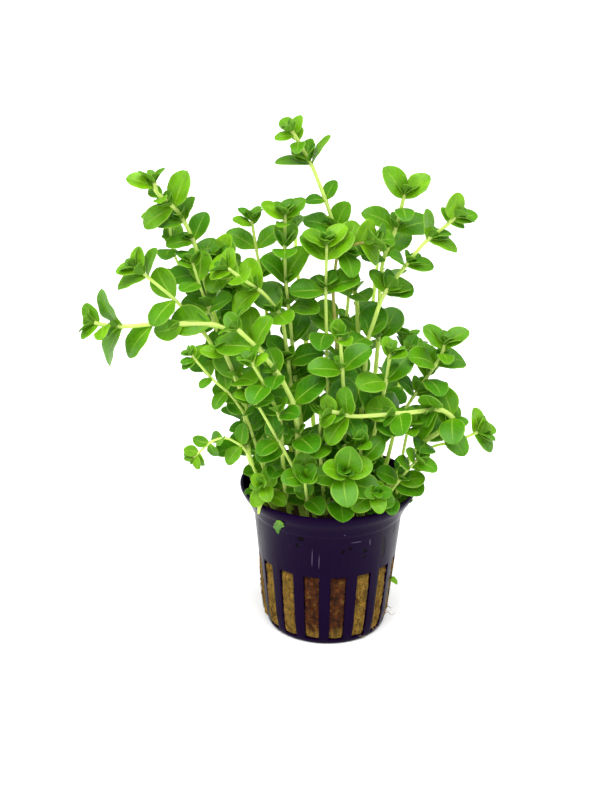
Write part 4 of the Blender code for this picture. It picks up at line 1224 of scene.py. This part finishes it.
class ROTALA_OT_scraps(bpy.types.Operator):
    """Lay the fine roots and the torn scraps of leaf on the pot"""
    bl_idname = "rotala.scraps"
    bl_label = "Roots and scraps"

    def execute(self, context):
        settings = context.scene.rotala_scraps
        draw = np.random.default_rng(5)
        roots = Sheets()
        share = np.linspace(0.0, 1.0, ROOT_POINTS)
        for azimuth, height, length, rise, sideways in ROOTS:
            for _ in range(ROOT_STRANDS):
                turn = math.radians(azimuth + draw.uniform(-4.0, 4.0))
                z = height * MM + draw.uniform(-0.0006, 0.0006)
                reach = length * MM * draw.uniform(0.5, 1.0)
                radius = wall_outside(z) - 0.0012 + reach * share
                sway = sideways * MM * share ** 1.5 + 0.0004 * np.sin(share * 9.0 + draw.uniform(0, 6))
                heights = np.maximum(z + rise * MM * share * draw.uniform(0.4, 1.3)
                                     + 0.0003 * np.sin(share * 11.0 + draw.uniform(0, 6)), 0.0003)
                path = stacked(radius * math.cos(turn) - sway * math.sin(turn),
                               radius * math.sin(turn) + sway * math.cos(turn), heights)
                thick = settings.root * draw.uniform(0.6, 1.2) * (1.0 - 0.7 * share)
                roots.add(sweep(path, thick, 5))
        roots.piece("fine_roots", [root_material(settings)], "rock_wool")
        self.torn_leaf()
        return {"FINISHED"}

    def torn_leaf(self):
        """A torn leaf stuck to the wall and a leaf's tip in a slot at the right.

        The first follows the wall and leans: an oval that narrows to a tail, its edge notched by waves.
        """
        rows, columns = 16, 9
        place = np.linspace(0.0, 1.0, rows)[:, None]
        over = np.linspace(-1.0, 1.0, columns)
        out = np.concatenate([over, over[-2:0:-1]])[None]
        lift = np.concatenate([np.full(columns, 0.00030), np.full(columns - 2, 0.00008)])[None]
        notch = 1.0 + 0.20 * np.sin(place * 23.0) + 0.12 * np.sin(place * 41.0 + out * 2.0)
        half = 0.0018 * np.sin(math.pi * place ** 0.8) ** 0.6 * (1.0 - 0.45 * place) * notch + 0.00015
        half = half * np.sqrt(np.clip(1.0 - (2.0 * place - 1.0) ** 8, 0.0, 1.0))
        slant = 0.0012 - 0.0034 * place + 0.0005 * np.sin(place * 7.0)
        z = 0.0420 - 0.0066 * place
        turn = math.radians(TORN_LEAF_AZIMUTH) + (out * half + slant) / LIP_RADIUS
        radius = wall_outside(z) + lift * (half > 0.0001)
        sheets = Sheets()
        sheets.add(round_axis(radius, turn, z), stacked(place, 0.5 + 0.5 * out), (-0.10, 0.20))
        base, along, face = (Vector(part) for part in SLOT_LEAF)
        along.normalize()
        face = (face.normalized() - along * face.normalized().dot(along)).normalized()
        points, uv, under = leaf_sheets([Leaf(base, along, face, SLOT_LEAF_LENGTH)],
                                        bpy.context.scene.rotala_shoots,
                                        np.random.default_rng(9), 9, 5)
        sheets.add(points, uv, stacked(0.7, under))
        stub, radii = np.array(RIM_STUB) * MM, np.array(RIM_STUB_RADII) * MM
        sheets.add(sweep(stub, radii, STEM_SIDES), slot=1)
        paints = [bpy.data.materials[name] for name in ("rotala_leaf", "rotala_stem")]
        sheets.piece("torn_leaf_scraps", paints, "shoot")


class ROTALA_OT_stage(bpy.types.Operator):
    """Set the floor, the soft lights and the camera"""
    bl_idname = "rotala.stage"
    bl_label = "Stage"

    def execute(self, context):
        scene = context.scene
        settings = scene.rotala_stage
        sheets = Sheets()
        reach = np.linspace(0.0, FLOOR_REACH, 3)
        sheets.add(turned_points(stacked(reach, FLOOR_HEIGHT), 48))
        mesh = sheets.mesh("pale_floor")
        if mesh.polygons[0].normal.z < 0:
            mesh.flip_normals()
        mesh.materials.append(floor_material(settings))
        linked("pale_floor", mesh)
        key = self.light("key_light", "SUN", KEY_PLACE, settings.key)
        key.angle = settings.spread
        for name, place in SOFTBOXES:
            self.light(name, "AREA", place, settings.fill).size = 0.4
        world = bpy.data.worlds.new("even_studio_light")
        world.use_nodes = True
        scene.world = world
        sky = world.node_tree.nodes["Background"]
        sky.inputs["Color"].default_value = (1.0, 1.0, 1.0, 1.0)
        sky.inputs["Strength"].default_value = settings.sky
        scene.view_settings.view_transform = "Standard"
        self.camera(scene, settings)
        return {"FINISHED"}

    def aimed(self, name, data, place, aim, roll=0.0):
        """A lamp or camera at a place, turned to look at a point."""
        thing = linked(name, data)
        turn = (aim - place).to_track_quat("-Z", "Y").to_matrix().to_4x4()
        thing.matrix_world = Matrix.Translation(place) @ turn @ Matrix.Rotation(roll, 4, "Z")
        return thing

    def light(self, name, kind, place, power):
        """A soft light that points at the bunch."""
        lamp = bpy.data.lights.new(name, kind)
        lamp.energy = power
        self.aimed(name, lamp, Vector(place), Vector(LIGHT_AIM))
        return lamp

    def camera(self, scene, settings):
        """The camera, placed as the photograph was taken."""
        lens = bpy.data.cameras.new("camera")
        lens.lens = settings.lens
        lens.sensor_width = 36.0
        lens.clip_start = 0.01
        aim = Vector(settings.aim)
        back = Vector((0.0, -math.cos(settings.elevation), math.sin(settings.elevation)))
        scene.camera = self.aimed("camera", lens, aim + back * settings.distance, aim, settings.roll)


class ROTALA_PT_panel(bpy.types.Panel):
    """The steps that build the potted plant"""
    bl_label = "Potted dwarf rotala"
    bl_idname = "ROTALA_PT_panel"
    bl_space_type = "VIEW_3D"
    bl_region_type = "UI"
    bl_category = "Rotala"

    def draw(self, context):
        for step in STEPS:
            self.layout.operator(step.bl_idname)


GROUPS = (("rotala_pot", PotSettings), ("rotala_wool", WoolSettings), ("rotala_shoots", ShootSettings),
          ("rotala_scraps", ScrapSettings), ("rotala_stage", StageSettings))
STEPS = (ROTALA_OT_net_pot, ROTALA_OT_rock_wool, ROTALA_OT_shoots, ROTALA_OT_scraps, ROTALA_OT_stage)


def register():
    for name, group in GROUPS:
        bpy.utils.register_class(group)
        setattr(bpy.types.Scene, name, PointerProperty(type=group))
    for step in STEPS:
        bpy.utils.register_class(step)
    bpy.utils.register_class(ROTALA_PT_panel)


def unregister():
    bpy.utils.unregister_class(ROTALA_PT_panel)
    for step in reversed(STEPS):
        bpy.utils.unregister_class(step)
    for name, group in reversed(GROUPS):
        delattr(bpy.types.Scene, name)
        bpy.utils.unregister_class(group)


def main():
    """Register the add-on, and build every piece."""
    register()
    bpy.ops.rotala.net_pot()
    bpy.ops.rotala.rock_wool()
    bpy.ops.rotala.shoots()
    bpy.ops.rotala.scraps()
    bpy.ops.rotala.stage()


if __name__ == "__main__":
    main()
